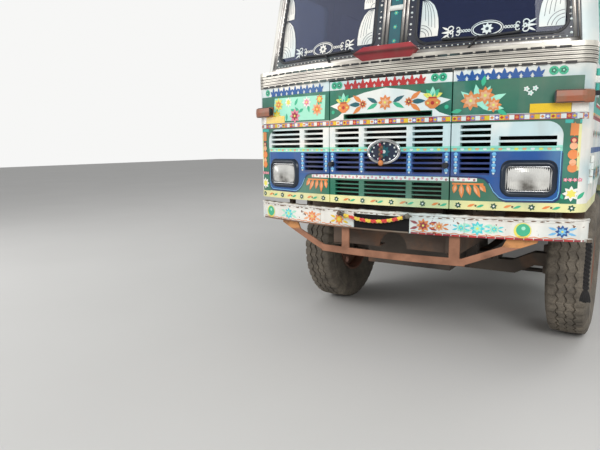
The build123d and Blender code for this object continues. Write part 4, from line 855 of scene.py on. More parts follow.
def name_strip(picture, u0, u1, tone, ends):
    """Row of leaf pairs on the white strip under the fluted band, with round ends."""
    foot = NAME_Z - 0.027
    for u in ends:
        picture.disc(u, NAME_Z, 0.023, "leaf", 1)
        picture.flower(u, NAME_Z, 0.016, 5, "green", "mint", 2)
    for index, u in spaced(u0, u1, round((u1 - u0) / 0.053)):
        picture.leaf(u, foot, 0.055, 0.024, pi / 2, tone, 1)
        for lean in (-0.72, 0.72):
            picture.leaf(u, foot + 0.001, 0.046, 0.019, pi / 2 + lean, tone, 1)
        picture.bar(u - 0.022, u + 0.022, foot - 0.002, foot + 0.006, tone, 1)


POT_OUTLINE = (
    (-0.012, -0.022), (0.012, -0.022), (0.042, 0), (0.046, 0.018), (0.020, 0.038), (-0.020, 0.038),
    (-0.046, 0.018), (-0.042, 0),
)


def pot(picture, u):
    """Orange water pot with a crown of leaves."""
    base = 1.628
    picture.shape([(u + across, base + up) for across, up in POT_OUTLINE], "orange", 3)
    picture.disc(u, base + 0.010, 0.011, "red", 4, 10)
    for side in (-1, 1):
        picture.disc(u + side * 0.026, base + 0.010, 0.006, "lemon", 4, 8)
    picture.bar(u - 0.024, u + 0.024, base + 0.036, base + 0.044, "red", 4)
    for angle, tone in ((20, "lemon"), (160, "lemon"), (50, "leaf"), (130, "leaf"), (90, "mint")):
        picture.leaf(u, base + 0.042, 0.060, 0.030, angle * pi / 180, tone, 3)


def bloom(picture, u, v, radius, tone, inner, layer):
    """Full round flower of two rings of petals."""
    picture.flower(u, v, radius, 8, tone, inner, layer)
    picture.flower(u, v, radius * 0.6, 6, inner, "lemon", layer + 1, 0.4)


# The scroll's right half, and its leaves: u, v, length, width, direction, colour, layer
SCROLL_OUTLINE = (
    (0, 1.742), (0.14, 1.722), (0.26, 1.690), (0.392, 1.652), (0.330, 1.626), (0.302, 1.606), (0.330, 1.584),
    (0.392, 1.562), (0.290, 1.562), (0.290, 1.597), (0, 1.597),
)
SCROLL_LEAVES = (
    (0.165, 1.652, 0.085, 0.030, 0, "teal", 2),
    (0.160, 1.665, 0.075, 0.028, pi / 5, "orange", 2),
    (0.160, 1.640, 0.075, 0.028, -pi / 5, "orange", 2),
    (0.050, 1.655, 0.080, 0.026, pi / 7, "teal", 1),
    (0.050, 1.652, 0.080, 0.026, -pi / 7, "leaf", 1),
)


def flap_picture():
    """White scroll with pots, leaves and blooms on the centre flap, over its coloured strips."""
    picture = Picture("painted_flap", "front_flap", on_face)
    for side in (-1, 1):
        picture.shape([(side * u, v) for u, v in SCROLL_OUTLINE], "white")
    for side in (-1, 1):
        pot(picture, side * 0.290)
        picture.disc(side * 0.370, 1.612, 0.012, "leaf", 1)
        for u, v, length, width, angle, tone, layer in SCROLL_LEAVES:
            picture.leaf(side * u, v, length, width, heading(side, angle), tone, layer)
    bloom(picture, 0, 1.655, 0.047, "orange", "pale_orange", 3)
    for side in (-1, 1):
        bloom(picture, side * 0.150, 1.652, 0.028, "orange", "crimson", 4)
    colour_strip(picture, -FLAP_EDGE_X, FLAP_EDGE_X, 0)
    mint_strip(picture, -FLAP_EDGE_X, -0.11)
    mint_strip(picture, 0.11, FLAP_EDGE_X)
    pink_strip(picture, -FLAP_EDGE_X, FLAP_EDGE_X)
    hem(picture, -FLAP_EDGE_X, FLAP_EDGE_X)
    name_strip(picture, -0.285, 0.245, "red", (-0.360, -0.322, 0.300, 0.345))
    picture.lay()


# Height, radius and colour
CORNER_BEADS = (
    (1.415, 0.017, "crimson"), (1.415, 0.010, "pale_orange"), (1.385, 0.019, "pale_orange"),
    (1.340, 0.026, "orange"), (1.298, 0.017, "pale_orange"), (1.268, 0.024, "orange"),
)


def corner_ornament(picture, side):
    """Upright orange bead and leaf ornament on the rounded corner."""
    u = side * 1.018
    picture.leaf(u, 1.435, 0.075, 0.036, pi / 2, "orange", 1)
    stem = [(u - 0.020, 1.440), (u + 0.018, 1.440), (u + 0.020, 1.500), (u - 0.018, 1.505)]
    picture.shape(stem, "orange", 1)
    for z, radius, tone in CORNER_BEADS:
        picture.disc(u, z, radius, tone, 1 if radius > 0.011 else 2, 12)
    picture.bar(*one_side(side, 1.036, 1.049), 1.255, 1.500, "cream", 1)
    picture.bar(*one_side(side, 0.972, 1.049), 1.505, 1.524, "aqua", 0)
    for index in range(4):
        picture.flower(side * (0.990 + 0.022 * index), 1.205, 0.012, 5, "pink", "white", 1, index)
    bloom(picture, side * 1.020, 1.130, 0.042, "white", "lemon", 1)
    picture.leaf(side * 0.985, 1.100, 0.050, 0.020, pi * 0.7, "leaf", 0)
    picture.leaf(side * 1.050, 1.100, 0.050, 0.020, pi * 0.3, "leaf", 0)


BLUE_FOOT = (
    (0.555, 1.213), (0.590, 1.205), (0.620, 1.172), (0.645, 1.125), (0.675, 1.094), (0.702, 1.081),
    (0.940, 1.084), (0.962, 1.100), (0.968, 1.130),
)
SPRAY_LEAVES = ((-0.066, 0.055), (-0.034, 0.082), (0, 0.066), (0.034, 0.084), (0.066, 0.056))
# u, v, radius, outer and inner colour
COWL_BLOOMS = (
    (-0.860, 1.690, 0.048, "lemon", "orange"), (-0.880, 1.610, 0.045, "yellow", "lemon"),
    (-0.700, 1.605, 0.050, "pink", "crimson"), (-0.590, 1.690, 0.040, "white", "pink"),
    (-0.500, 1.640, 0.045, "pale_orange", "orange"), (-0.760, 1.700, 0.036, "white", "lemon"),
    (-0.480, 1.705, 0.030, "orange", "lemon"),
)


def blue_field(picture, side):
    """Blue ground round the headlamp, below the louvres, with a dark edge line and, inside it, a light line
    that is a painted highlight on the raised edge.
    """
    foot = [(side * u, v) for u, v in BLUE_FOOT]
    picture.shape(foot + [(side * 0.968, 1.216), (side * 0.555, 1.216)], "blue")
    line = foot + [(side * 0.968, 1.350)]
    picture.stroke([(side * COWL_EDGE_X, 1.2165)] + line, 0.010, "deep_blue", 1)
    # The light blue line just inside the edge is a painted highlight on the raised bevel.
    inner = [(u - side * 0.006, v + 0.009) for u, v in line[2:]]
    picture.stroke(inner, 0.004, "light_blue", 2)


def orange_spray(picture, u, side):
    """Orange leaves that fan down from a bar, at the foot of the corner panels."""
    top = 1.170
    picture.bar(u - 0.085, u + 0.085, top, top + 0.010, "orange", 1)
    for index, (shift, length) in enumerate(SPRAY_LEAVES):
        lean = -pi / 2 + side * 0.25 + 0.2 * (index - 2)
        picture.leaf(u + shift, top + 0.004, length, 0.030, lean, "orange", 1)
        picture.leaf(u + shift, top - 0.008, length * 0.6, 0.012, lean, "pale_orange", 2)


def cowl_picture(side, body, name):
    """Ornament of a cowl panel: its strips and corner, and the picture over them."""
    picture = Picture(name, body, on_face)
    blue_field(picture, side)
    corner_ornament(picture, side)
    low, high = one_side(side, COWL_EDGE_X, 1.075)
    colour_strip(picture, low, high, 4)
    hem(picture, low, high)
    mint_strip(picture, *one_side(side, COWL_EDGE_X, 0.966))
    pink_strip(picture, *one_side(side, COWL_EDGE_X, 0.550))
    orange_spray(picture, side * 0.500, side)
    if side > 0:
        left_cowl_flowers(picture)
    else:
        right_cowl_flowers(picture)
    picture.lay()


# Direction in degrees and length
FAN_LEAVES = ((-8, 0.13), (24, 0.15), (62, 0.12), (100, 0.12), (140, 0.13))
# u, v and radius
ORANGE_BLOOMS = ((0.500, 1.640, 0.055), (0.575, 1.665, 0.050), (0.620, 1.612, 0.042))
# u, v and direction in degrees
OUTER_LEAVES = ((0.455, 1.590, 190), (0.640, 1.585, -30), (0.560, 1.715, 80))
WHITE_BUDS = ((0.780, 1.690), (0.800, 1.668), (0.822, 1.692))


def left_cowl_flowers(picture):
    """Three orange blooms on fanned leaves, with small white flowers beside them."""
    name_strip(picture, 0.420, 0.860, "blue", (0.905, 0.950))
    for angle, length in FAN_LEAVES:
        picture.leaf(0.545, 1.610, length, 0.045, angle * pi / 180, "mint", 0)
    for u, v, radius in ORANGE_BLOOMS:
        bloom(picture, u, v, radius, "orange", "pale_orange", 1)
    for u, v, angle in OUTER_LEAVES:
        picture.leaf(u, v, 0.060, 0.026, angle * pi / 180, "leaf", 2)
    for u, v in WHITE_BUDS:
        picture.flower(u, v, 0.016, 5, "white", "mint", 1)


def right_cowl_flowers(picture):
    """Flowers of many colours with leaves between them, on a mint field."""
    name_strip(picture, -0.940, -0.450, "blue", (-0.975,))
    picture.shape([(-0.925, 1.575), (-0.440, 1.572), (-0.432, 1.728), (-0.900, 1.735)], "mint")
    for u, v, radius, tone, inner in COWL_BLOOMS:
        bloom(picture, u, v, radius, tone, inner, 2)
    for index in range(12):
        u = -0.900 + 0.040 * index
        picture.leaf(u, 1.625 + 0.025 * (index % 3), 0.055, 0.022, 0.8 + 1.3 * index, "leaf", 1)


DASH_PITCH = 0.068


def band_dashes():
    """Dark dashes along both edges of the fluted band."""
    picture = Picture("band_dashes", "chassis", on_face, base=0.0068)
    for z, shift in ((1.8960, 0.0), (1.8160, 0.03)):
        for index in range(-15, 16):
            u = index * DASH_PITCH + shift
            if abs(u) < 1.02:
                picture.bar(u - 0.028, u + 0.026, z - 0.0065, z + 0.0065, "black")
    picture.lay()


# Ornament of the parts that the photo doesn't show, in the same manner

ORANGES = ("orange", "pale_orange")
PINKS = ("crimson", "pink")
BLUES = ("blue", "light_blue")
FLANK_CHAIN = ("crimson", "orange", "blue")
FLANK_CHAIN_Z = 1.450
FLANK_STRIP_Z = 1.5525


def panel(picture, u0, u1, v0, v1, ground, rim):
    """Painted panel with a double border."""
    for layer, (inset, tone) in enumerate(((0, rim), (0.014, "white"), (0.022, ground))):
        picture.bar(u0 + inset, u1 - inset, v0 + inset, v1 - inset, tone, layer)


def spray(picture, u, v, size, tones):
    """Bloom with leaves and two buds."""
    first, second = tones
    for angle in (0.5, pi - 0.5, pi + 0.5, -0.5, pi / 2, -pi / 2):
        foot_u = u + size * 0.5 * cos(angle)
        foot_v = v + size * 0.5 * sin(angle)
        picture.leaf(foot_u, foot_v, size * 0.75, size * 0.26, angle, "leaf", 3)
    bloom(picture, u, v, size * 0.62, first, second, 4)
    for turn in (-1, 1):
        picture.flower(u + turn * size * 1.05, v, size * 0.22, 5, second, "lemon", 4)


def chain(picture, u0, u1, v, tones, radius=0.012, pitch=0.06):
    """Row of small flowers on a vine."""
    for index, u in spaced(u0, u1, max(2, round((u1 - u0) / pitch))):
        if index % 2:
            picture.leaf(u - 0.022, v, 0.044, radius, 0.3, "leaf", 3)
        else:
            picture.flower(u, v, radius, 6, tones[(index // 2) % len(tones)], "white", 3)


def strip_row(picture, u0, u1, v, height, start, layer=1):
    """Row of many-coloured lozenges."""
    count = max(1, round((u1 - u0) / (height * 1.1)))
    half = (u1 - u0) / count / 2
    for index, u in spaced(u0, u1, count):
        picture.bar(u - half, u + half, v - height / 2, v + height / 2, strip_colour(index + start), layer)
        lozenge = [(u - half * 0.8, v), (u, v - height * 0.4), (u + half * 0.8, v), (u, v + height * 0.4)]
        picture.shape(lozenge, strip_colour(index + start + 4), layer + 1)


def door_picture(side, name):
    """Ornament of a door: flower chain on white, coloured strip, a spray on the upper field."""
    body = f"door_{name}"
    picture = Picture(f"painted_{body}", body, on_flank(side), 0)
    chain(picture, 0.330, 1.090, FLANK_CHAIN_Z, FLANK_CHAIN, 0.026, 0.095)
    for index in range(4):
        tones = (ORANGES, BLUES)[index % 2]
        spray(picture, 0.420 + 0.190 * index, 1.215, 0.070, tones)
    strip_row(picture, 0.320, 1.100, FLANK_STRIP_Z, 0.013, 0)
    panel(picture, 0.420, 0.960, 1.600, 1.770, "green", "red")
    spray(picture, 0.690, 1.685, 0.078, ORANGES)
    for turn in (-1, 1):
        picture.leaf(0.690 + turn * 0.115, 1.685, 0.100, 0.030, heading(turn), "lemon", 4)
    chain(picture, 0.470, 1.080, 1.880, ("white", "lemon"), 0.018, 0.07)
    picture.lay()


def cab_side_picture(side, name):
    """Ornament of the cab side behind a door."""
    picture = Picture(f"painted_side_{name}", "chassis", on_flank(side), 0)
    panel(picture, 1.250, 1.770, 1.600, 1.950, "aqua", "orange")
    spray(picture, 1.510, 1.775, 0.120, PINKS)
    strip_row(picture, 1.180, 1.830, FLANK_STRIP_Z, 0.013, 3)
    chain(picture, 1.180, 1.830, FLANK_CHAIN_Z, FLANK_CHAIN, 0.026, 0.095)
    chain(picture, 1.180, 1.830, 2.620, ("crimson", "yellow"), 0.020, 0.08)
    picture.lay()


WALL_BAYS = 8
WALL_START = 2.040
WALL_PITCH = 0.65625
WALL_FIELDS = ((1.305, 1.780), (1.900, 2.305))
WALL_RAILS = (1.245, 1.840, 2.365)
WALL_SHEET_X = 1.197
WALL_RAIL_X = 1.214
WALL_POST_X = 1.220
POST_DOT_FOOT_Z = 1.330
POST_DOT_PITCH = 0.135


def bay_span(bay, inset):
    """Both ends of a bay of the load body's side, moved in from its posts."""
    return WALL_START + WALL_PITCH * bay + inset, WALL_START + WALL_PITCH * (bay + 1) - inset


def wall_picture(side, name):
    """A framed panel in every bay between the posts, sprays and birds' eyes by turns."""
    picture = Picture(f"painted_wall_{name}", "chassis", on_wall(side, WALL_SHEET_X), 0)
    tones = (ORANGES, PINKS, BLUES, ("yellow", "lemon"))
    grounds = ("aqua", "white", "yellow", "light_blue")
    for bay in range(WALL_BAYS):
        u0, u1 = bay_span(bay, 0.050)
        for row, (v0, v1) in enumerate(WALL_FIELDS):
            ground = grounds[(bay + 2 * row) % 4] if row else "white"
            panel(picture, u0 + 0.012, u1 - 0.012, v0 + 0.012, v1 - 0.012, ground, ("red", "blue")[row])
            spray(picture, (u0 + u1) / 2, (v0 + v1) / 2, 0.115, tones[(bay + row) % 4])
            for v in (v0 + 0.060, v1 - 0.060):
                chain(picture, u0 + 0.055, u1 - 0.055, v, ("crimson", "blue", "orange"), 0.016, 0.070)
    picture.lay()
    rails = Picture(f"painted_rails_{name}", "chassis", on_wall(side, WALL_RAIL_X), 0)
    for level in WALL_RAILS:
        for bay in range(WALL_BAYS):
            strip_row(rails, *bay_span(bay, 0.036), level, 0.034, bay)
    rails.lay()
    posts = Picture(f"painted_posts_{name}", "chassis", on_wall(side, WALL_POST_X), 0)
    for post in range(WALL_BAYS + 1):
        u = WALL_START + WALL_PITCH * post
        for index in range(8):
            v = POST_DOT_FOOT_Z + POST_DOT_PITCH * index
            posts.disc(u, v, 0.020, ("lemon", "orange")[index % 2], 0, 12)
            posts.disc(u, v, 0.009, "crimson", 1, 10)
    posts.lay()


FRINGE_HALF = 0.900
FRINGE_Z = 2.785
FRINGE_BAND = (2.795, 2.830)
CROWN_CHAIN_Z = 2.8125
CROWN_ROW_Z = 2.850
SUN_Z = 2.975
# Distance from the middle, height, size and colours
CROWN_SPRAYS = ((0.300, 2.945, 0.066, PINKS), (0.540, 2.925, 0.056, BLUES))


def crown_picture():
    """Scalloped fringe, a flower chain and a sun on the crown's front."""
    picture = Picture("painted_crown", "chassis", on_crown, 0.05)
    for index, u in spaced(-FRINGE_HALF, FRINGE_HALF, 24):
        picture.disc(u, FRINGE_Z, 0.034, ("red", "lemon")[index % 2], 0, 12, 0.8)
    picture.bar(-FRINGE_HALF, FRINGE_HALF, *FRINGE_BAND, "white", 1)
    chain(picture, -0.880, 0.880, CROWN_CHAIN_Z, ("crimson", "blue", "orange"), 0.014, 0.06)
    strip_row(picture, -0.800, 0.800, CROWN_ROW_Z, 0.026, 0, 1)
    bloom(picture, 0, SUN_Z, 0.090, "orange", "yellow", 2)
    for index in range(9):
        angle = pi * index / 8
        picture.leaf(0.105 * cos(angle), SUN_Z + 0.085 * sin(angle), 0.045, 0.022, angle, "lemon", 1)
    for turn in (-1, 1):
        for u, v, size, tones in CROWN_SPRAYS:
            spray(picture, turn * u, v, size, tones)
        picture.leaf(turn * 0.660, 2.900, 0.130, 0.040, heading(turn), "aqua", 2)
    picture.lay()


GATE_FIELDS = ((-1.070, -0.610), (-0.510, -0.050), (0.050, 0.510), (0.610, 1.070))
GATE_ROWS = ((1.365, 1.810), (1.930, 2.305))
GATE_RAILS = (1.305, 1.870, 2.365)
GATE_SHEET_Y = 7.334
GATE_RAIL_Y = 7.352


def tailgate_picture():
    """Two rows of framed fields with sprays on the tailgate's rear."""
    picture = Picture("painted_tailgate", "tailgate", on_rear(GATE_SHEET_Y), 0)
    for low, high in GATE_FIELDS:
        for row, (v0, v1) in enumerate(GATE_ROWS):
            panel(picture, low, high, v0, v1, ("white", "yellow")[row], ("red", "blue")[row])
            spray(picture, (low + high) / 2, (v0 + v1) / 2, 0.110, (PINKS, ORANGES)[row])
            chain(picture, low + 0.040, high - 0.040, v0 + 0.050, ("blue", "crimson"), 0.015, 0.070)
    picture.lay()
    rails = Picture("painted_gate_rails", "tailgate", on_rear(GATE_RAIL_Y), 0)
    for level in GATE_RAILS:
        for low, high in GATE_FIELDS:
            strip_row(rails, low - 0.010, high + 0.010, level, 0.034, 2)
    rails.lay()


HEADBOARD_FIELD = (-0.860, 0.860, 1.960, 2.420)
HEADBOARD_MIDDLE_Z = 2.190
HEADBOARD_ROWS = (1.920, 2.460)


def headboard_picture():
    """Sun, sprays and a framed field on the headboard, over the load."""
    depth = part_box("headboard")[1].y - FACE_Y
    picture = Picture("painted_headboard", "chassis", on_rear(depth), 0)
    panel(picture, *HEADBOARD_FIELD, "green", "yellow")
    bloom(picture, 0, HEADBOARD_MIDDLE_Z, 0.150, "orange", "yellow", 4)
    for index, (c, s) in enumerate(circle(12)):
        v = HEADBOARD_MIDDLE_Z + 0.160 * s
        picture.leaf(0.175 * c, v, 0.070, 0.030, pi * index / 6, "lemon", 3)
    for turn in (-1, 1):
        spray(picture, turn * 0.500, HEADBOARD_MIDDLE_Z, 0.130, PINKS)
    for level in HEADBOARD_ROWS:
        strip_row(picture, -0.900, 0.900, level, 0.034, 4)
    picture.lay()


# Mirrors and tail lamps

MIRROR_X = (1.112, 1.278)
MIRROR_Y = 0.250
MIRROR_Z = (2.502, 2.788)
TAIL_LAMPS = (("red", 0.830), ("orange", 0.930))
TAIL_LAMP_WIDTH = 0.095
TAIL_LAMP_Y = 7.345
TAIL_LAMP_Z = (1.118, 1.192)


def rounded_plate(name, depth, u0, u1, v0, v1, radius, height, material, slot):
    """Thin plate with rounded corners that looks to the rear."""
    bm = bmesh.new()
    surface = on_rear(depth)
    route = rounded(u0, u1, v0, v1, radius)
    rings = [[bm.verts.new(surface(u, v, lift)) for u, v in route] for lift in (0.0005, height)]
    skin(bm, rings)
    bm.faces.new(rings[1])
    finish_bmesh(name, bm, "chassis", [material])


def silvered():
    def fill(graph):
        film = graph.level(graph.noise(12, 6), 0.45, 0.75)
        graph.surface(Base_Color=(0.78, 0.80, 0.82), Metallic=1.0, Roughness=graph.times(film, 0.18))
    return once("silvered_glass", fill)


def small_fittings():
    """Mirror glass and tail lamp lenses."""
    for side, name in SIDES:
        low, high = one_side(-side, *MIRROR_X)
        rounded_plate(f"mirror_glass_{name}", MIRROR_Y, low, high, *MIRROR_Z, 0.020, 0.002,
                      silvered(), "glass")
        for tone, near in TAIL_LAMPS:
            low, high = one_side(-side, near, near + TAIL_LAMP_WIDTH)
            rounded_plate(f"tail_lens_{name}_{tone}", TAIL_LAMP_Y, low, high, *TAIL_LAMP_Z, 0.012, 0.003,
                          reflector(tone), "lamp")


# Solid trims that follow a surface

def ribbon(bm, surface, route, profile, material=0, closed=False):
    """Strip with a raised profile along a (u, v) route; profile holds (across, lift) points."""
    count = len(route)
    rings = []
    for index, (u, v) in enumerate(route):
        before = route[index - 1] if closed or index else route[index]
        after = route[(index + 1) % count] if closed or index < count - 1 else route[index]
        du, dv = after[0] - before[0], after[1] - before[1]
        run = sqrt(du * du + dv * dv) or 1
        nu, nv = -dv / run, du / run
        ring = [surface(u + nu * across, v + nv * across, lift) for across, lift in profile]
        rings.append([bm.verts.new(point) for point in ring])
    skin(bm, rings, around=False, along=closed, material=material)
    if not closed:
        for ring in (rings[0], rings[-1]):
            bm.faces.new(ring).material_index = material


def rounded(u0, u1, v0, v1, radius, steps=6, top_shift=0.0):
    """Route round a rectangle with rounded corners; its top corners move in by a shift."""
    route = []
    for cu, cv, start in ((u1 - radius, v1 - radius, 0), (u0 + radius, v1 - radius, 90),
                          (u0 + radius, v0 + radius, 180), (u1 - radius, v0 + radius, 270)):
        for index in range(steps + 1):
            angle = (start + 90 * index / steps) * pi / 180
            route.append((cu + radius * cos(angle), cv + radius * sin(angle)))
    return [(u * (1 - top_shift * (v - v0)), v) for u, v in route]


def dense(route, step=0.03, closed=False):
    """The route with its long runs divided, so that it bends with the surface."""
    out = []
    ends = route[1:] + route[:1] if closed else route[1:]
    for (u0, v0), (u1, v1) in zip(route, ends):
        count = max(1, int(sqrt((u1 - u0) ** 2 + (v1 - v0) ** 2) / step))
        out += [(u0 + (u1 - u0) * i / count, v0 + (v1 - v0) * i / count) for i in range(count)]
    return out if closed else out + [route[-1]]


def half_round(width, height, base=0.0):
    """Cross-section of a bead strip."""
    angles = [pi * index / 5 for index in range(6)]
    return [(width / 2 * cos(angle), base + height * sin(angle)) for angle in angles]


def flat_bar(width, height, base=0.0):
    return [(width / 2, base), (width / 2, base + height), (-width / 2, base + height), (-width / 2, base)]


PANE_INNER = 0.140
PANE_OUTER = 0.945
PANE_SILL = 1.998
PANE_TOP = 2.650
PANE_CORNER = 0.070


def pane_route(side, grow):
    """Edge of a windscreen pane on the leaning surface, grown outward."""
    across = (PANE_INNER - grow, PANE_OUTER + grow)
    route = rounded(*across, PANE_SILL - grow, PANE_TOP + grow, PANE_CORNER + grow)
    points = []
    for u, v in route:
        share = (u - PANE_INNER) / (PANE_OUTER - PANE_INNER)
        points.append((side * (u - TUMBLEHOME * (v - PANE_SILL) * share), v))
    return points if side > 0 else points[::-1]


# Foot, lean and width
OUTER_STRIPS = ((0.985, 0.078, 0.020), (1.006, 0.078, 0.012))
PILLAR_STRIPS = ((0.050, 0.020), (0.076, 0.018))
SILL_LINES = ((1.972, 1.975), (1.984, 1.986))
LEVEL_STRIPS = ((1.9455, 0.036), (2.695, 0.022))


def windscreen():
    """Slim rubber, aluminium strips and wiper arms round the two panes."""
    bm = bmesh.new()
    for side in (-1, 1):
        ribbon(bm, on_screen, dense(pane_route(side, 0.006), 0.05, True), half_round(0.018, 0.005), 0, True)
        for u, lean, width in OUTER_STRIPS:
            outer = [(side * (u - lean * t), 1.945 + 0.72 * t) for t in (0, 0.25, 0.5, 0.75, 1)]
            ribbon(bm, on_screen, dense(outer, 0.1), half_round(width, 0.007), 1)
        for u, width in PILLAR_STRIPS:
            upright = [(side * u, z) for z in (1.962, 2.2, 2.45, 2.70)]
            ribbon(bm, on_screen, upright, half_round(width, 0.009), 1)
        for low, high in SILL_LINES:
            route = dense([(side * 0.13, (low + high) / 2), (side * 0.93, (low + high) / 2)], 0.06)
            ribbon(bm, on_screen, route, half_round(high - low, 0.003), 1)
        blade = [(side * 0.300, 2.006), (side * 0.500, 1.999), (side * 0.720, 2.010)]
        ribbon(bm, on_screen, dense(blade, 0.05), flat_bar(0.012, 0.016), 0)
        arm = [(side * 0.500, 2.000), (side * 0.470, 1.968), (side * 0.450, 1.940)]
        ribbon(bm, on_screen, arm, flat_bar(0.010, 0.012, 0.008), 0)
    for z, width in LEVEL_STRIPS:
        ribbon(bm, on_screen, dense([(-1.0, z), (1.0, z)], 0.06), half_round(width, 0.008), 1)
    ribbon(bm, on_screen, [(-0.044, 2.230), (0, 2.230), (0.044, 2.230)], flat_bar(0.030, 0.010), 2)
    trim = [black_rubber(), aluminium(), paint("white")]
    finish_bmesh("windscreen_trim", bm, "chassis", trim, True)


DOME = ((1, 0), (0.72, 0.72))
CAP = ((1, 0), (1, 0.86), (0.82, 0.98))


def windscreen_studs():
    """White and chrome studs, a little out of line, round the two panes."""
    bm = bmesh.new()
    for side in (-1, 1):
        for index in range(21):
            z = 1.985 + 0.034 * index + 0.005 * sin(index * 4.1)
            inner = side * (0.102 + 0.002 * sin(index * 2.7))
            outer = side * (0.962 - 0.0037 * index + 0.002 * sin(index * 3.3))
            stud(bm, on_screen, inner, z, 0.0075, 0.007, index % 2)
            stud(bm, on_screen, outer, z, 0.0075, 0.007, index % 2)
    for index in range(-29, 30):
        if index:
            stud(bm, on_screen, 0.0325 * index, 1.9675, 0.0045, 0.004)
    finish_bmesh("windscreen_studs", bm, "chassis", [paint("white"), chrome()], True)


def stud(bm, surface, u, v, radius, height, material=0, sides=8, profile=DOME):
    """Low dome or cap on a surface."""
    rings = []
    for share, lift in profile:
        reach = radius * share
        ring = [surface(u + reach * c, v + reach * s, height * lift) for c, s in circle(sides)]
        rings.append([bm.verts.new(point) for point in ring])
    skin(bm, rings, material=material)
    top = bm.verts.new(surface(u, v, height))
    for first, second in zip(rings[-1], rings[-1][1:] + rings[-1][:1]):
        bm.faces.new((first, second, top)).material_index = material


PANE_DEPTH = -0.0165
LOBE_RIM = (
    (0.0, 0.0), (0.98, 0.0), (1.0, 0.22), (0.95, 0.45), (0.84, 0.66), (0.66, 0.84), (0.40, 0.96), (0.16, 1.0),
    (0.0, 0.98),
)


def lobe(picture, u, v, side, height, width, arcs):
    """Wing of lace on a pane's edge: small arcs open from its foot, long ones run up beside its rim."""
    picture.shape([(u + side * width * a, v + height * b) for a, b in LOBE_RIM], "white")
    for reach in arcs:
        route = []
        for step in range(9):
            angle = (3 + 84 * step / 8) * pi / 180
            route.append((u + side * width * reach * cos(angle), v + width * reach * sin(angle)))
        picture.stroke(route, 0.0028, "navy", 1)
    for share in (0.80, 0.62, 0.44, 0.26):
        rise = height * (0.97 + 0.03 * share)
        foot = v + width * arcs[-1] * sqrt(1 - share * share)
        kept = [(a, v + rise * b) for a, b in LOBE_RIM[2:-1] if v + rise * b > foot - 0.02]
        route = [(u + side * width * a * share, max(up, foot)) for a, up in kept]
        if len(route) > 2:
            picture.stroke(route, 0.0024, "navy", 1)


def lace(picture, u, v, side, height, width):
    """Two wings of lace, one above the other, up a pane's side."""
    lobe(picture, u, v, side, height, width, (0.34, 0.50, 0.66))
    lobe(picture, u, v + height * 1.03, side, height * 0.70, width * 0.72, (0.36,))


def curl(picture, u, v, radius, start, turn, width, tone):
    """Line that winds inward from a point of its outer circle."""
    points = []
    for step in range(17):
        share = step / 16
        angle = start + turn * share
        reach = radius * (1 - 0.72 * share)
        points.append((u + reach * cos(angle), v + reach * sin(angle)))
    picture.stroke(points, width, tone, 1)


def rope(picture, u0, u1, v, swing, period, width, tone):
    """Two fine lines wound about each other."""
    picture.wave(u0, u1, v, swing, period, width, tone, 1)
    picture.wave(u0, u1, v, -swing, period, width, tone, 1)


def scroll(picture, u, v, half, tone):
    """Oval with a flower, and scrolls that run out to both sides."""
    for grow, width in ((0, 0.006), (0.010, 0.003)):
        ring = [(u + (0.076 + grow) * c, v + (0.036 + grow) * s) for c, s in circle(24)]
        picture.stroke(ring + ring[:1], width, tone, 1)
    picture.flower(u, v, 0.034, 8, tone, "navy", 1)
    for side in (-1, 1):
        rope(picture, u + side * 0.090, u + side * half * 0.68, v, 0.007, 0.030, 0.0045, tone)
        centre = u + side * half * 0.80
        for rise in (-1, 1):
            start = -rise * pi / 2
            turn = side * rise * pi
            curl(picture, centre, v + rise * 0.018, 0.026, start, turn * 1.7, 0.0065, tone)
            curl(picture, centre - side * 0.034, v + rise * 0.014, 0.017, start, -turn * 1.5, 0.0055, tone)
            tip = centre + side * 0.012
            picture.leaf(tip, v + rise * 0.010, 0.050, 0.012, heading(side, 0.5 * rise), tone, 1)
        picture.leaf(centre, v, half * 0.24, 0.014, heading(side), tone, 1)
        picture.flower(centre, v, 0.016, 6, tone, "navy", 2, 0.3)


VALANCE_FOOT = 2.505
VALANCE_TOP = 2.640


def pane_picture():
    """White lace and scrolls on the panes, with the scalloped cloth edge along their tops."""
    picture = Picture("painted_panes", "chassis", on_screen, 0.05, PANE_DEPTH + 0.002)
    for side in (-1, 1):
        lace(picture, side * 0.158, 2.034, side, 0.22, 0.108)
        lace(picture, side * 0.930, 2.030, -side, 0.26, 0.128)
        scroll(picture, side * 0.540, 2.046, 0.245, "white")
        for index, u in spaced(side * 0.180, side * 0.860, 12):
            picture.disc(u, VALANCE_FOOT - 0.004, 0.029, "cyan", 0, 12)
            picture.disc(u, VALANCE_FOOT - 0.016, 0.008, "white", 1, 8)
        low, high = one_side(side, 0.155, 0.878)
        picture.bar(low, high, VALANCE_FOOT - 0.001, VALANCE_TOP, "cyan", 0)
        picture.bar(low, high, VALANCE_FOOT + 0.022, VALANCE_FOOT + 0.027, "white", 1)
        picture.bar(low, high, VALANCE_TOP - 0.040, VALANCE_TOP - 0.030, "white", 1)
        for index in range(8):
            picture.flower(side * (0.215 + 0.085 * index), 2.572, 0.021, 5, "white", "yellow", 1)
    picture.lay()


def pillar_picture():
    picture = Picture("painted_pillar", "chassis", on_screen)
    picture.bar(-0.036, 0.036, 1.975, 2.690, "teal")
    for index in range(8):
        picture.flower(0, 2.03 + 0.085 * index, 0.015, 6, "aqua", "lemon", 1)
    picture.lay()


# Badge, charm, knobs and beads

BADGE_Z = 1.360


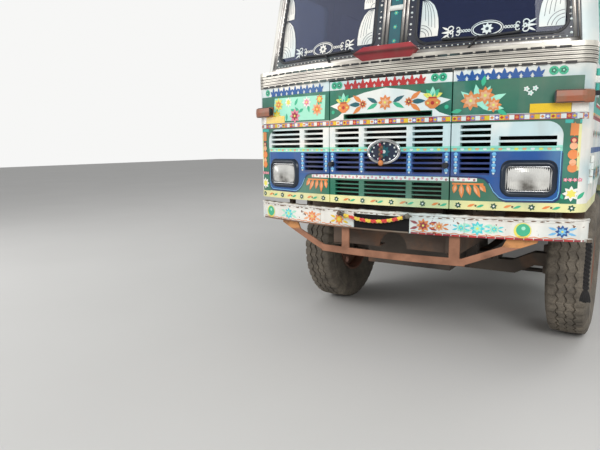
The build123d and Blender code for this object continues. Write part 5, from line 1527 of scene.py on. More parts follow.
def badge():
    """Plain oval badge: a chrome ring round dark enamel with a bare rosette."""
    bm = bmesh.new()
    tube = [(0.010 * cos(pi * i / 6 - pi), -0.013 - 0.012 * sin(pi * i / 6)) for i in range(7)]
    rings = []
    for c, s in circle(40):
        ring = [((0.102 + grow) * c, FACE_Y + y, BADGE_Z + (0.068 + grow) * s) for grow, y in tube]
        rings.append([bm.verts.new(point) for point in ring])
    skin(bm, rings, around=False, along=True, flip=True)
    finish_bmesh("badge_ring", bm, "front_flap", [chrome()], True)
    picture = Picture("badge_face", "front_flap", on_face, 0, 0.0078)
    picture.disc(0, BADGE_Z, 0.095, "navy", 0, 32, 0.66)
    for c, s in circle(12):
        picture.disc(0.078 * c, BADGE_Z + 0.050 * s, 0.006, "white", 1, 8)
    picture.flower(0, BADGE_Z, 0.040, 8, "teal", "white", 1)
    picture.lay()


def bead_mesh(bm, centre, radius, stretch=1.0, material=0):
    geometry = bmesh.ops.create_uvsphere(bm, u_segments=12, v_segments=8, radius=radius)
    for vertex in geometry["verts"]:
        vertex.co.z *= stretch
        vertex.co += Vector(centre)
        for face in vertex.link_faces:
            face.material_index = material


def charm():
    """String of chillies with a lemon at its foot, in front of the badge."""
    bm = bmesh.new()
    y = FACE_Y - 0.030
    for index in range(7):
        turn = 1 if index % 2 else -1
        bead_mesh(bm, (turn * 0.006 - 0.012, y, 1.400 - 0.014 * index), 0.0085, 1.5, 0 if index % 3 else 1)
    bead_mesh(bm, (-0.012, y, 1.292), 0.016, 1.15, 2)
    enamels = [paint(name) for name in ("rust", "crimson", "orange")]
    finish_bmesh("charm", bm, "front_flap", enamels, True)


KNOB_PLACE = (0.376, 1.280)
KNOB_RADIUS = 0.017
KNOB_HEIGHT = 0.0375


def flap_knobs():
    """Black caps on the two lock knobs of the centre flap."""
    bm = bmesh.new()
    for side in (-1, 1):
        stud(bm, on_face, side * KNOB_PLACE[0], KNOB_PLACE[1], KNOB_RADIUS, KNOB_HEIGHT, 0, 20, CAP)
    finish_bmesh("flap_knobs", bm, "front_flap", [black_rubber()])


LOUVRE_LEVELS = (1.246, 1.277, 1.308, 1.339)
POSTS = (("front_flap", (-0.378, -0.158, 0.158, 0.378)), ("chassis", (-0.634, -0.430, 0.430, 0.634)))


def beads():
    """Light blue and white bosses on the posts between the louvres; their colours are painted highlights on
    the posts' scalloped sides.
    """
    # Light blue and white stand for light: painted highlights on the scalloped sides of the posts.
    enamels = [paint("light_blue"), paint("white")]
    for body, columns in POSTS:
        bm = bmesh.new()
        for u in columns:
            for z in LOUVRE_LEVELS:
                stud(bm, on_face, u, z + 0.004, 0.012, 0.009, 0, 10)
                stud(bm, on_face, u, z - 0.010, 0.007, 0.006, 1, 8)
        finish_bmesh(f"louvre_beads_{body}", bm, body, enamels, True)


# Lamps

LAMP_X = 0.812
LAMP_Z = 1.207
LAMP_TURN = 13 * pi / 180
LENS_HALF = (0.119, 0.066)
LENS_COLUMNS = 44
LENS_ROWS = 10
BEZEL_PROFILE = (
    (-0.014, -0.006), (-0.013, 0.010), (-0.004, 0.016), (0.004, 0.013), (0.012, 0.004), (0.016, -0.004),
)
MARKER_Z = 1.6425
MARKER_PROFILE = (
    (0.0338, 0), (0.0338, 0.034), (0.028, 0.041), (0, 0.0435), (-0.028, 0.041), (-0.0338, 0.034),
    (-0.0338, 0),
)
REFLECTOR_Z = 1.5865
BEZEL_ROUTE = (-0.130, 0.130, -0.086, 0.086, 0.045)
RIM_ROUTE = (-0.120, 0.120, -0.067, 0.067, 0.022)
MARKER_SPAN = (0.9185, 1.0675)
MARKER_SCREWS = (0.938, 1.046)
REFLECTOR_SPANS = ((0.800, 0.995), (0.997, 1.070))


def on_lamp(side):
    """Plane of a headlamp: u across from its middle, v up from its middle, lift outward."""
    def place(u, v, lift):
        c, s = cos(LAMP_TURN), sin(LAMP_TURN)
        x = LAMP_X + u * c + lift * s
        y = LAMP_X ** 2 / (2 * FACE_RADIUS) + u * s - lift * c
        return side * x, FACE_Y + y, LAMP_Z + v
    return place


def lamp_bezel():
    return plain("lamp_bezel", (0.006, 0.012, 0.026), 0.32, 0, 0.1, 160, shade=(0.014, 0.024, 0.040))


def headlamp(side, name):
    """Dark bezel with a bright inner rim, and a ribbed and domed lens."""
    place = on_lamp(side)
    bm = bmesh.new()
    route = rounded(*BEZEL_ROUTE)
    ribbon(bm, place, route[::-1], BEZEL_PROFILE, 0, True)
    inner = rounded(*RIM_ROUTE)
    ribbon(bm, place, inner[::-1], half_round(0.008, 0.006, 0.004), 1, True)
    finish_bmesh(f"headlamp_bezel_{name}", bm, "chassis", [lamp_bezel(), chrome()], True)
    bm = bmesh.new()
    grid = []
    for i in range(LENS_COLUMNS + 1):
        u = -LENS_HALF[0] + 2 * LENS_HALF[0] * i / LENS_COLUMNS
        line = []
        for j in range(LENS_ROWS + 1):
            v = -LENS_HALF[1] + 2 * LENS_HALF[1] * j / LENS_ROWS
            dome = 0.010 * (1 - (u / LENS_HALF[0]) ** 2) * (1 - (v / LENS_HALF[1]) ** 2)
            rib = 0.0016 * (i % 2)
            line.append(bm.verts.new(place(u, v, 0.004 + dome + rib)))
        grid.append(line)
    skin(bm, grid, around=False, flip=True)
    finish_bmesh(f"headlamp_lens_{name}", bm, "chassis", [lens_glass()])


def lens_glass():
    def fill(graph):
        # Painted reflection: the lens is near-white, with dark patches across its middle and lower part.
        across = graph.minus(graph.size(graph.axis(0)), LAMP_X)
        middle = graph.minus(1.0, graph.level(graph.size(across), 0.020, 0.075))
        low = graph.minus(1.0, graph.level(graph.axis(2), LAMP_Z - 0.030, LAMP_Z + 0.050))
        painted_reflection_mask = graph.times(graph.most(middle, 0.35), graph.most(low, 0.25))
        patch = graph.level(graph.noise(20, 4, (1, 1, 1.6)), 0.34, 0.66)
        dark = graph.times(painted_reflection_mask, graph.plus(graph.times(patch, 0.5), 0.6))
        tone = graph.mix(dark, (0.90, 0.89, 0.84), (0.13, 0.12, 0.105))
        graph.surface(Base_Color=tone, Roughness=0.10, Metallic=0.40, Coat_Weight=1.0, Coat_Roughness=0.05)
    return once("lens_glass", fill)


def marker_lens():
    def fill(graph):
        dust = graph.level(graph.noise(20, 5), 0.4, 0.7)
        graph.surface(Base_Color=graph.mix(dust, (0.34, 0.105, 0.050), (0.26, 0.14, 0.085)), Roughness=0.34)
    return once("marker_lens", fill)


def marker_lamp(side, name):
    """Wrap-round side lamp with its screws, and the reflector strips under it."""
    bm = bmesh.new()
    route = dense([(side * u, MARKER_Z) for u in MARKER_SPAN], 0.012)
    ribbon(bm, on_face, route, MARKER_PROFILE, 0)
    for u in MARKER_SCREWS:
        stud(bm, on_face, side * u, MARKER_Z, 0.005, 0.0465, 1)
    finish_bmesh(f"marker_lamp_{name}", bm, "chassis", [marker_lens(), chrome()])
    bm = bmesh.new()
    for number, (u0, u1) in enumerate(REFLECTOR_SPANS):
        route = dense([(side * u0, REFLECTOR_Z), (side * u1, REFLECTOR_Z)], 0.012)
        ribbon(bm, on_face, route, flat_bar(0.048, 0.004), number)
    finish_bmesh(f"reflector_{name}", bm, "chassis", [reflector("yellow"), reflector("white")])


def reflector(name):
    """Prismatic reflector: a fine lattice under a clear face."""
    def fill(graph):
        cells = graph.tree.nodes.new("ShaderNodeTexVoronoi")
        cells.inputs["Scale"].default_value = 260
        graph.tree.links.new(graph.place, cells.inputs["Vector"])
        tone = colour(name)
        shade = [part * 0.82 for part in tone]
        graph.surface(Base_Color=graph.mix(cells.outputs[0], tone, shade), Roughness=0.18, Coat_Weight=0.6)
    return once(f"reflector_{name}", fill)


# Bumper

DENT_COUNT = 64
FLOWER_Z = 0.918
BUMPER_FOOT_Z = 0.8642
BUMPER_TOP_Z = 0.9786
BUMPER_BACK = 0.030
BUMPER_DOTS = (-0.990, 0.795)
VINE_SPANS = ((-1.06, -0.50), (-0.475, -0.235), (0.178, 1.06))
RECESS = (-0.218, 0.162, 0.866, 0.963)
# u, outer and inner colour, radius
BUMPER_FLOWERS = (
    (-0.790, "cyan", "mint", 0.042), (-0.560, "orange", "pale_orange", 0.042),
    (-0.330, "orange", "yellow", 0.038), (0.250, "orange", "crimson", 0.043),
    (0.345, "pale_orange", "orange", 0.030), (0.560, "cyan", "mint", 0.042), (0.470, "mint", "cyan", 0.026),
    (0.650, "mint", "cyan", 0.026), (0.990, "blue", "light_blue", 0.036),
)


def dot(picture, u, v, radius, tone):
    """Round dot with a yellow rim and a light spot."""
    picture.disc(u, v, radius, "lemon", 0, 20)
    picture.disc(u + 0.003, v + 0.004, radius * 0.80, tone, 1, 20)
    picture.disc(u + 0.004, v + 0.014, radius * 0.24, "mint", 2, 10)


def bumper_flower(picture, u, radius, tone, second):
    """Round flower with four leaves on the bumper's face."""
    bloom(picture, u, FLOWER_Z, radius, tone, second, 1)
    for angle in (0.3, pi - 0.3, pi + 0.3, -0.3):
        foot_u = u + radius * 0.8 * cos(angle)
        foot_v = FLOWER_Z + radius * 0.8 * sin(angle)
        picture.leaf(foot_u, foot_v, radius * 1.2, radius * 0.4, angle, second, 0)


def bumper_picture():
    """Dots, flowers and a vine on the bumper, the dark recess behind the garland, the strip at its foot."""
    picture = Picture("painted_bumper", "chassis", on_bumper, 0.05, -0.0028)
    for u in BUMPER_DOTS:
        dot(picture, u, 0.916, 0.045, "leaf")
    for u, tone, second, radius in BUMPER_FLOWERS:
        bumper_flower(picture, u, radius, tone, second)
    for low, high in VINE_SPANS:
        picture.wave(low, high, 0.880, 0.003, 0.06, 0.004, "orange", 0)
    picture.lay()
    dark = Picture("bumper_recess", "chassis", on_bumper, 0.05, -0.0086)
    dark.bar(*RECESS, "black")
    dark.lay().data.materials[0] = plain("recess_black", (0.004, 0.004, 0.005), 0.95)
    strip = Picture("bumper_strip", "chassis", on_bumper, 0.05, 0.0012)
    strip.bar(-1.060, 0.160, 0.8645, 0.8735, "rust")
    for index in range(19):
        u = 0.175 + 0.0485 * index
        strip.bar(u, u + 0.044, 0.8645, 0.8745, "red" if index % 2 else "crimson")
    strip.lay()


def bumper_wear():
    """Rust-brown dents and scratches along the two lips."""
    picture = Picture("bumper_wear", "chassis", on_bumper, 0.05, 0.0011)
    for index in range(DENT_COUNT):
        u = -1.05 + 2.1 * index / DENT_COUNT + 0.012 * sin(index * 5.1)
        length = 0.012 + 0.026 * abs(sin(index * 2.3))
        z = 0.9725 + 0.0035 * sin(index * 3.7)
        picture.leaf(u, z, length, 0.007, 0.1 * sin(index), ("rust", "brown")[index % 2])
    picture.lay()


BUMPER_LIP_Z = 0.979
LIP_STEPS = 88
WORN_LIP_Z = (0.9865, 0.9905)
LIP_PROFILE = (
    (-0.004, 0.0005), (0.002, 0.0055), (0.009, 0.0055), (0.0125, 0.000), (0.0125, -0.020), (0.008, -0.058),
    (-0.004, -0.058),
)


def bumper_lip():
    """Rolled and dented top edge of the bumper."""
    bm = bmesh.new()
    route = []
    for index in range(LIP_STEPS + 1):
        u = -1.1095 + 2.219 * index / LIP_STEPS
        dent = 0.0016 * sin(index * 1.9) + 0.0012 * sin(index * 0.7)
        route.append((u, BUMPER_LIP_Z + dent))
    ribbon(bm, on_bumper, route, LIP_PROFILE)
    finish_bmesh("bumper_lip", bm, "chassis", [lip_paint()], True)


def lip_paint():
    """White paint worn to brown metal along the lip's top."""
    def fill(graph):
        high = graph.level(graph.axis(2), *WORN_LIP_Z)
        patch = graph.level(graph.noise(16, 6, (1, 1, 0.3)), 0.40, 0.56)
        worn = graph.times(graph.most(high, 0.25), graph.most(patch, 0.3))
        weathered(graph, graph.mix(worn, colour("white"), (0.16, 0.10, 0.07)), 0.30, 0.30)
    return once("lip_paint", fill)


# Tyres and wheels

TREAD_LUGS = 44
RINGS_A_LUG = 6
ZIGZAG = (0, 0.006, 0.008, 0, -0.006, -0.008)
NOTCH_DEPTH = 0.013
SLIT_DEPTH = 0.006
TYRE_PROFILE = (
    (-0.098, 0.264), (-0.112, 0.290), (-0.130, 0.345), (-0.138, 0.400), (-0.137, 0.440), (-0.132, 0.446),
    (-0.131, 0.462), (-0.124, 0.492), (-0.112, 0.514), (-0.104, 0.519), (-0.060, 0.5215), (-0.057, 0.512),
    (-0.049, 0.512), (-0.046, 0.5225), (-0.006, 0.5235), (-0.003, 0.513), (0.003, 0.513), (0.006, 0.5235),
    (0.046, 0.5225), (0.049, 0.512), (0.057, 0.512), (0.060, 0.5215), (0.104, 0.519), (0.112, 0.514),
    (0.124, 0.492), (0.131, 0.462), (0.132, 0.446), (0.137, 0.440), (0.138, 0.400), (0.130, 0.345),
    (0.112, 0.290), (0.098, 0.264), (0, 0.262),
)
SHARP_TREAD = 0.55


def on_axle(hub):
    """Place of a wheel whose axle runs across the truck."""
    def place(along, back, up):
        return along, hub[0] + back, hub[1] + up
    return place


def lying_flat(centre):
    """Place of a wheel that lies on its side."""
    def place(along, across, back):
        return centre.x + across, centre.y + back, centre.z + along
    return place


def tyre(name, body, nodes, centres, place):
    """Road tyre: rounded carcass, sidewall rings, zigzag ribs and shoulder lugs."""
    bm = bmesh.new()
    for centre in centres:
        rings = []
        for index, (c, s) in enumerate(circle(TREAD_LUGS * RINGS_A_LUG)):
            step = index % RINGS_A_LUG
            ring = []
            for x, radius in TYRE_PROFILE:
                shift = ZIGZAG[step] if abs(x) < 0.07 else 0
                if step < 2 and radius > 0.4895 and abs(x) > 0.07:
                    radius -= NOTCH_DEPTH
                if step == 4 and radius > 0.520 and abs(x) < 0.05:
                    radius -= SLIT_DEPTH
                ring.append(bm.verts.new(place(centre + x + shift, radius * c, radius * s)))
            rings.append(ring)
        skin(bm, rings, along=True)
    bmesh.ops.recalc_face_normals(bm, faces=bm.faces[:])
    item = finish_bmesh(name, bm, body, [tyre_rubber()], True)
    item.data.set_sharp_from_angle(angle=SHARP_TREAD)
    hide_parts(*nodes)


TWIN = 0.310
NUT_COUNT = 8
NUT_CIRCLE = 0.150
NUT_RADIUS = 0.015
NUT_HEIGHT = 0.016
FRONT_HUB_PLACE = ((FRONT_HUB[0].y + FRONT_HUB[1].y) / 2, TYRE_RADIUS)
REAR_HUB_PLACE = ((REAR_HUB[0].y + REAR_HUB[1].y) / 2, TYRE_RADIUS)
FRONT_TYRE_X = (FRONT_HUB[0].x + FRONT_HUB[1].x) / 2
REAR_TYRE_X = (REAR_HUB[0].x + REAR_HUB[1].x) / 2


def ring_of_nuts(bm, x, hub, side):
    """Wheel nuts round a hub, with their studs."""
    for c, s in circle(NUT_COUNT):
        y = hub[0] + NUT_CIRCLE * c
        z = hub[1] + NUT_CIRCLE * s
        for sides, radius, reach in ((6, NUT_RADIUS, NUT_HEIGHT), (8, NUT_RADIUS * 0.5, NUT_HEIGHT * 1.6)):
            rings = []
            for end in (x, x + side * reach):
                rings.append([bm.verts.new((end, y + radius * a, z + radius * b)) for a, b in circle(sides)])
            skin(bm, rings)
            bm.faces.new(rings[1])


def wheel_fittings():
    """Nuts and road tyres of the wheels, and the spare tyre."""
    iron = rusty("nut_iron", (0.10, 0.08, 0.07))
    twins = (REAR_TYRE_X - TWIN / 2, REAR_TYRE_X + TWIN / 2)
    for side, name in SIDES:
        front, rear = f"front_wheel_{name}", f"rear_wheels_{name}"
        for end, body, x, hub in (("front", front, FRONT_TYRE_X - 0.014, FRONT_HUB_PLACE),
                                  ("rear", rear, REAR_TYRE_X + 0.141, REAR_HUB_PLACE)):
            bm = bmesh.new()
            ring_of_nuts(bm, side * x, hub, side)
            finish_bmesh(f"wheel_nuts_{end}_{name}", bm, body, [iron])
        tyre(f"road_tyre_front_{name}", front, [f"front_tyre_{name}"], [side * FRONT_TYRE_X],
             on_axle(FRONT_HUB_PLACE))
        tyre(f"road_tyres_rear_{name}", rear, [f"rear_tyres_{name}"], [side * x for x in twins],
             on_axle(REAR_HUB_PLACE))
    low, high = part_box("spare_tyre")
    tyre("road_tyre_spare", "chassis", ["spare_tyre"], [0], lying_flat((low + high) / 2))


SURROUND_HIGHLIGHT_EDGE = 1.018


def screen_surround():
    """Navy surround of the panes; past an edge its rounded corners are white, a painted highlight of the
    glare on them.
    """
    def fill(graph):
        rise = graph.minus(graph.axis(2), SCREEN_FOOT_Z)
        spread = graph.plus(graph.size(graph.axis(0)), graph.times(rise, TUMBLEHOME))
        # White past the edge: painted highlight of glare on the rounded corners.
        base = graph.mix(graph.above(spread, SURROUND_HIGHLIGHT_EDGE), (0.020, 0.026, 0.046), colour("white"))
        weathered(graph, base, 0.12)
    return once("screen_surround", fill)


def bumper_enamel():
    """White bumper, with brown iron at its fixing irons, its underside and its hidden back."""
    def fill(graph):
        across = graph.size(graph.axis(0))
        low = graph.below(graph.axis(2), BUMPER_FOOT_Z)
        arc = graph.over(graph.times(across, across), 2 * BUMPER_RADIUS)
        depth = graph.minus(graph.minus(graph.axis(1), FACE_Y + BUMPER_Y), arc)
        hidden = graph.times(graph.above(depth, BUMPER_BACK), graph.below(across, 0.95))
        raised = graph.below(depth, -0.0012)
        top = graph.above(graph.axis(2), BUMPER_TOP_Z)
        iron = graph.most(graph.most(low, hidden), graph.most(raised, top))
        base = graph.mix(iron, colour("white"), (0.12, 0.070, 0.045))
        weathered(graph, base, 0.34, 0.34)
    return once("bumper_enamel", fill)


GUSSET_X = (0.690, 0.905)
GUSSET_Z = (0.812, 0.866)


def guard_iron():
    """Rust over old orange paint; the outer gussets keep the most orange."""
    def fill(graph):
        across = graph.size(graph.axis(0))
        gusset = graph.times(graph.inside(across, *GUSSET_X), graph.inside(graph.axis(2), *GUSSET_Z))
        blooms = graph.level(graph.noise(6.5, 9), 0.44, 0.66)
        iron = graph.mix(blooms, (0.36, 0.165, 0.095), (0.200, 0.088, 0.048))
        flakes = graph.level(graph.noise(11, 7), 0.50, 0.66)
        orange = graph.mix(flakes, (0.62, 0.28, 0.10), (0.22, 0.10, 0.05))
        graph.surface(Base_Color=graph.mix(gusset, iron, orange), Roughness=0.74)
        graph.bump(graph.noise(75, 6), 0.35, 0.002)
    return once("guard_iron", fill)


def ornament_red():
    """Faded red, with a dark line along its middle ridge that is painted shade at the fold."""
    def fill(graph):
        low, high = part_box("ledge_ornament")
        ridge = graph.size(graph.minus(graph.axis(2), (low.z + high.z) / 2))
        near = graph.minus(1.0, graph.level(ridge, 0.004, 0.016))
        # Painted shade: the red darkens to a deep red line at the fold along the middle.
        base = graph.mix(near, colour("brick"), (0.145, 0.018, 0.020))
        weathered(graph, base, 0.22)
    return once("ornament_red", fill)


# Seats

SEAT_SPANS = ((-0.900, -0.390), (0.390, 1.000))
CUSHION_LOW = (0.850, 1.480)
CUSHION_HIGH = (1.372, 1.600)
BACK_LOW = (1.372, 1.480)
BACK_HIGH = (1.490, 2.080)
SEAT_INSET = 0.010
SEAT_ROUNDING = 0.028
SEAT_VOXEL = 0.016
SEAT_PRESSURE = 4.0
SWELL_CAP = 0.014
SWELL_FRAMES = 20
CHANNEL_PITCH = 0.088
CHANNEL_DEPTH = 0.008
CHANNEL_WIDTH = 0.011
PIPING_RADIUS = 0.0045
OBLIQUE = Vector((0.31, 0.53, 0.79))


def worked_out(item):
    """The mesh of an object with its modifiers applied."""
    depsgraph = bpy.context.evaluated_depsgraph_get()
    return bpy.data.meshes.new_from_object(item.evaluated_get(depsgraph))


def swell(item):
    """Blows the cover up from inside as cloth, and holds every point near its start."""
    starts = [vertex.co.copy() for vertex in item.data.vertices]
    cloth = item.modifiers.new("swell", "CLOTH")
    cloth.settings.use_pressure = True
    cloth.settings.uniform_pressure_force = SEAT_PRESSURE
    cloth.settings.effector_weights.gravity = 0
    for number in range(1, SWELL_FRAMES + 1):
        bpy.context.scene.frame_set(number)
    swollen = worked_out(item)
    item.modifiers.clear()
    for vertex, start in zip(swollen.vertices, starts):
        move = vertex.co - start
        if move.length > SWELL_CAP:
            vertex.co = start + move * (SWELL_CAP / move.length)
    item.data = swollen
    bpy.context.scene.frame_set(1)


def seat_cushion(name, span, low, high, outward):
    """Stuffed cushion with sewn channels on its outward side and piping round that side's edge."""
    middle = Vector(((span[0] + span[1]) / 2, FACE_Y + (low[0] + high[0]) / 2, (low[1] + high[1]) / 2))
    size = Vector((span[1] - span[0], high[0] - low[0], high[1] - low[1])) - Vector((2, 2, 2)) * SEAT_INSET
    bm = bmesh.new()
    bmesh.ops.create_cube(bm, size=1, matrix=Matrix.Translation(middle) @ Matrix.Diagonal((*size, 1)))
    bmesh.ops.bevel(bm, geom=bm.edges[:], offset=SEAT_ROUNDING, segments=3, profile=0.5, affect="EDGES")
    cover = plain("seat_cover", (0.22, 0.05, 0.045), 0.85, 0, 0.5, 260)
    item = finish_bmesh(name, bm, "chassis", [cover], True)
    remesh = item.modifiers.new("remesh", "REMESH")
    remesh.mode = "VOXEL"
    remesh.voxel_size = SEAT_VOXEL
    item.data = worked_out(item)
    item.modifiers.clear()
    swell(item)
    item.modifiers.new("finer", "SUBSURF").levels = 1
    item.data = worked_out(item)
    item.modifiers.clear()
    mesh = item.data
    normals = [vertex.normal.copy() for vertex in mesh.vertices]
    for vertex, normal in zip(mesh.vertices, normals):
        facing = max(0.0, normal.dot(outward)) ** 2
        away = (vertex.co.x - middle.x + CHANNEL_PITCH / 2) % CHANNEL_PITCH - CHANNEL_PITCH / 2
        edge = size.x / 2 - abs(vertex.co.x - middle.x)
        if edge > CHANNEL_PITCH / 2:
            vertex.co -= outward * CHANNEL_DEPTH * facing * exp(-(away / CHANNEL_WIDTH) ** 2)
    mesh.materials.clear()
    mesh.materials.append(cover)
    for polygon in mesh.polygons:
        polygon.use_smooth = True
    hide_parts("seats")
    seat_piping(item, middle, size, outward)


def seat_piping(item, middle, size, outward):
    """Piping along the edge of a cushion's outward side, laid on its cover."""
    mesh = item.data
    corners = [vertex.co for vertex in mesh.vertices]
    cover = BVHTree.FromPolygons(corners, [polygon.vertices[:] for polygon in mesh.polygons])
    across = Vector((1, 0, 0))
    along = outward.cross(across)
    half_across = size.x / 2 - 0.010
    half_along = abs(size.dot(along)) / 2 - 0.010
    depth = abs(size.dot(outward)) / 2 - 0.008
    outline = dense(rounded(-half_across, half_across, -half_along, half_along, 0.030), 0.02, True)
    points = []
    for a, b in outline:
        near, normal, *_ = cover.find_nearest(middle + across * a + along * b + outward * depth)
        points.append(near + normal * PIPING_RADIUS * 0.3)
    points.append(points[0].copy())
    bm = bmesh.new()
    strand(bm, points, 0, PIPING_RADIUS, 0, 0, 8, OBLIQUE)
    trim = plain("seat_piping", (0.62, 0.58, 0.50), 0.7)
    finish_bmesh(f"{item.name}_piping", bm, "chassis", [trim], True)


def seats():
    for span, name in zip(SEAT_SPANS, ("driver", "mate")):
        seat_cushion(f"seat_cushion_{name}", span, CUSHION_LOW, CUSHION_HIGH, Vector((0, 0, 1)))
        seat_cushion(f"seat_back_{name}", span, BACK_LOW, BACK_HIGH, Vector((0, -1, 0)))


# Dashboard

DASHBOARD_Y = 0.430
DIAL_Z = 1.662
DIALS = ((0.520, 0.050), (0.645, 0.034), (0.730, 0.034), (0.850, 0.050))


def dials():
    """Instrument dials before the driver, and the cover of the glove box on the other side."""
    picture = Picture("painted_dials", "chassis", on_rear(DASHBOARD_Y), 0)
    picture.bar(0.360, 0.930, 1.585, 1.725, "black")
    for u, radius in DIALS:
        picture.disc(u, DIAL_Z, radius + 0.006, "white", 1, 24)
        picture.disc(u, DIAL_Z, radius, "navy", 2, 24)
        for tick in range(9):
            angle = (-30 + 30 * tick) * pi / 180
            reach = radius * 0.8
            picture.disc(u + reach * cos(angle), DIAL_Z + reach * sin(angle), 0.003, "white", 3, 6)
        picture.leaf(u, DIAL_Z, radius * 0.85, 0.006, 2.2, "red", 4)
    picture.bar(-0.900, -0.460, 1.590, 1.720, "brown")
    picture.bar(-0.690, -0.670, 1.690, 1.705, "white", 1)
    picture.lay()


# Materials on the solids

RUSTY_BROWN = (0.085, 0.055, 0.040)


def dress(names, material):
    for name in names:
        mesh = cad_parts[name].data
        mesh.materials.clear()
        mesh.materials.append(material)


def dress_all():
    dress(("cowl_left", "cowl_right", "front_flap"), face_paint())
    dress(("door_left", "door_right", "cab_sides"), side_paint())
    dress(("cab_rear",), paint("green", 0.35))
    dress(("windscreen_frame",), screen_surround())
    dress(("face_band",), fluted_metal())
    dress(("ledge_ornament",), ornament_red())
    dress(("crown",), paint("green", 0.2))
    dress(("roof",), paint("white", 0.45))
    # Navy tint and an even dark navy veil on the windscreen: painted shade of the dark cab behind it.
    dress(("cab_glass",), glass("screen_glass", (0.12, 0.16, 0.30), (0.035, 0.048, 0.120), 0.45))
    dress(("door_glass_left", "door_glass_right"), glass("window_glass", (0.62, 0.70, 0.72)))
    dress(("bumper",), bumper_enamel())
    dress(("lower_guard",), guard_iron())
    dress(("frame_rails", "crossmembers", "cab_bearers", "front_mudguards", "cab_steps"),
          rusty("chassis_brown", RUSTY_BROWN))
    dress(("front_axle", "knuckle_left", "knuckle_right", "tie_rod", "leaf_springs", "rear_axle",
           "propeller_shaft", "engine", "radiator", "silencer"),
          rusty("greasy_iron", (0.045, 0.036, 0.030), amount=0.3))
    dress(("fuel_tank", "battery_box", "air_tanks"), rusty("tank_paint", (0.06, 0.16, 0.13), amount=0.35))
    dress(("front_wheel_left", "front_wheel_right", "rear_wheels_left", "rear_wheels_right", "spare_rim"),
          rusty("rim_paint", (0.21, 0.075, 0.045), amount=0.5))
    dress(("front_tyre_left", "front_tyre_right", "rear_tyres_left", "rear_tyres_right", "spare_tyre"),
          tyre_rubber())
    dress(("mudflaps",), black_rubber())
    dress(("deck",), planks("deck_boards", (0.15, 0.10, 0.065), (0.33, 0.26, 0.19), 1, 0.145))
    dress(("deck_bearers",), rusty("bearer_brown", (0.13, 0.07, 0.045)))
    dress(("side_walls", "headboard", "tailgate"), paint("green", 0.3, 0.2))
    dress(("lamps",), black_rubber())
    dress(("mirrors",), plain("mirror_case", (0.025, 0.025, 0.028), 0.4))
    dress(("cab_floor", "dashboard", "steering_wheel"), plain("cab_trim", (0.035, 0.033, 0.032), 0.6))


# Camera, light and floor

LENS = 31.2
SENSOR_WIDTH = 36
CAMERA_PLACE = (1.315, FACE_Y - 2.986, 1.400)
CAMERA_RIGHT = Vector((0.83950, 0.54326, -0.01059))
CAMERA_DOWN = Vector((0.07285, -0.13184, -0.98859))
CAMERA_AHEAD = Vector((-0.53846, 0.82915, -0.15026))
# Name, place, aim, size and power
LAMPS = (
    ("key", (5.5, FACE_Y - 7.0, 6.5), (0, FACE_Y, 1.3), 5.0, 620),
    ("fill", (-7.0, FACE_Y - 4.0, 4.5), (0, FACE_Y + 1, 1.3), 6.0, 300),
    ("back", (3.0, 7.5, 7.0), (0, 0, 1.5), 7.0, 420),
)
FLOOR_HALF = 40


def camera():
    """The camera solved from the photo."""
    data = bpy.data.cameras.new("camera")
    data.lens = LENS
    data.sensor_width = SENSOR_WIDTH
    item = bpy.data.objects.new("camera", data)
    turn = Matrix((CAMERA_RIGHT, -CAMERA_DOWN, -CAMERA_AHEAD)).transposed().to_4x4()
    item.matrix_world = Matrix.Translation(CAMERA_PLACE) @ turn
    scene = bpy.context.scene
    scene.collection.objects.link(item)
    scene.camera = item
    scene.view_settings.view_transform = "Standard"


def lamps():
    for name, place, aim, size, power in LAMPS:
        lamp = bpy.data.lights.new(name, "AREA")
        lamp.size = size
        lamp.energy = power
        item = bpy.data.objects.new(name, lamp)
        item.location = place
        item.rotation_euler = (Vector(aim) - Vector(place)).to_track_quat("-Z", "Y").to_euler()
        bpy.context.scene.collection.objects.link(item)


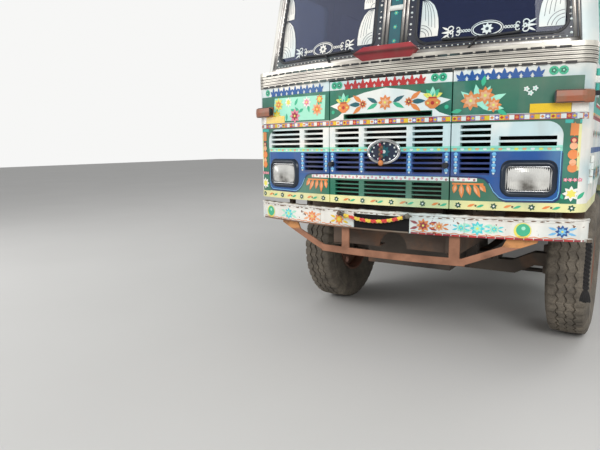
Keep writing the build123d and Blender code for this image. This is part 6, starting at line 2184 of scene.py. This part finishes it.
def backdrop():
    """Even grey light on the object; the camera, and rays through glass, see a pale ground instead."""
    world = bpy.data.worlds.new("world")
    bpy.context.scene.world = world
    world.use_nodes = True
    nodes = world.node_tree.nodes
    links = world.node_tree.links
    grey = nodes["Background"]
    pale = nodes.new("ShaderNodeBackground")
    for node, tone, strength in ((grey, (0.86, 0.87, 0.88, 1), 0.55), (pale, (0.93, 0.93, 0.92, 1), 1.0)):
        node.inputs["Color"].default_value = tone
        node.inputs["Strength"].default_value = strength
    path = nodes.new("ShaderNodeLightPath")
    seen = nodes.new("ShaderNodeMath")
    seen.operation = "MAXIMUM"
    links.new(path.outputs["Is Camera Ray"], seen.inputs[0])
    links.new(path.outputs["Is Transmission Ray"], seen.inputs[1])
    both = nodes.new("ShaderNodeMixShader")
    for index, socket in enumerate((seen.outputs[0], grey.outputs[0], pale.outputs[0])):
        links.new(socket, both.inputs[index])
    links.new(both.outputs[0], nodes["World Output"].inputs[0])


def floor():
    mesh = bpy.data.meshes.new("floor")
    corners = [(x * FLOOR_HALF, y * FLOOR_HALF, 0) for x, y in ((-1, -1), (1, -1), (1, 1), (-1, 1))]
    mesh.from_pydata(corners, [], [(0, 1, 2, 3)])
    graph = Graph("floor_pale")
    tone = graph.mix(graph.noise(0.6, 5), (0.62, 0.61, 0.59), (0.68, 0.67, 0.65))
    graph.surface(Base_Color=tone, Roughness=0.85)
    mesh.materials.append(graph.material)
    item = bpy.data.objects.new("floor", mesh)
    bpy.context.collection.objects.link(item)


camera()
lamps()
backdrop()
floor()
garland()
braid()
dress_all()
flap_picture()
cowl_picture(1, "chassis", "painted_cowl_left")
cowl_picture(-1, "chassis", "painted_cowl_right")
band_dashes()
windscreen()
windscreen_studs()
pane_picture()
pillar_picture()
badge()
charm()
flap_knobs()
beads()
for side, side_name in SIDES[::-1]:
    headlamp(side, side_name)
    marker_lamp(side, side_name)
bumper_picture()
bumper_wear()
bumper_lip()
crown_picture()
tailgate_picture()
headboard_picture()
for side, side_name in SIDES:
    door_picture(side, side_name)
    cab_side_picture(side, side_name)
    wall_picture(side, side_name)
small_fittings()
wheel_fittings()
dials()
seats()
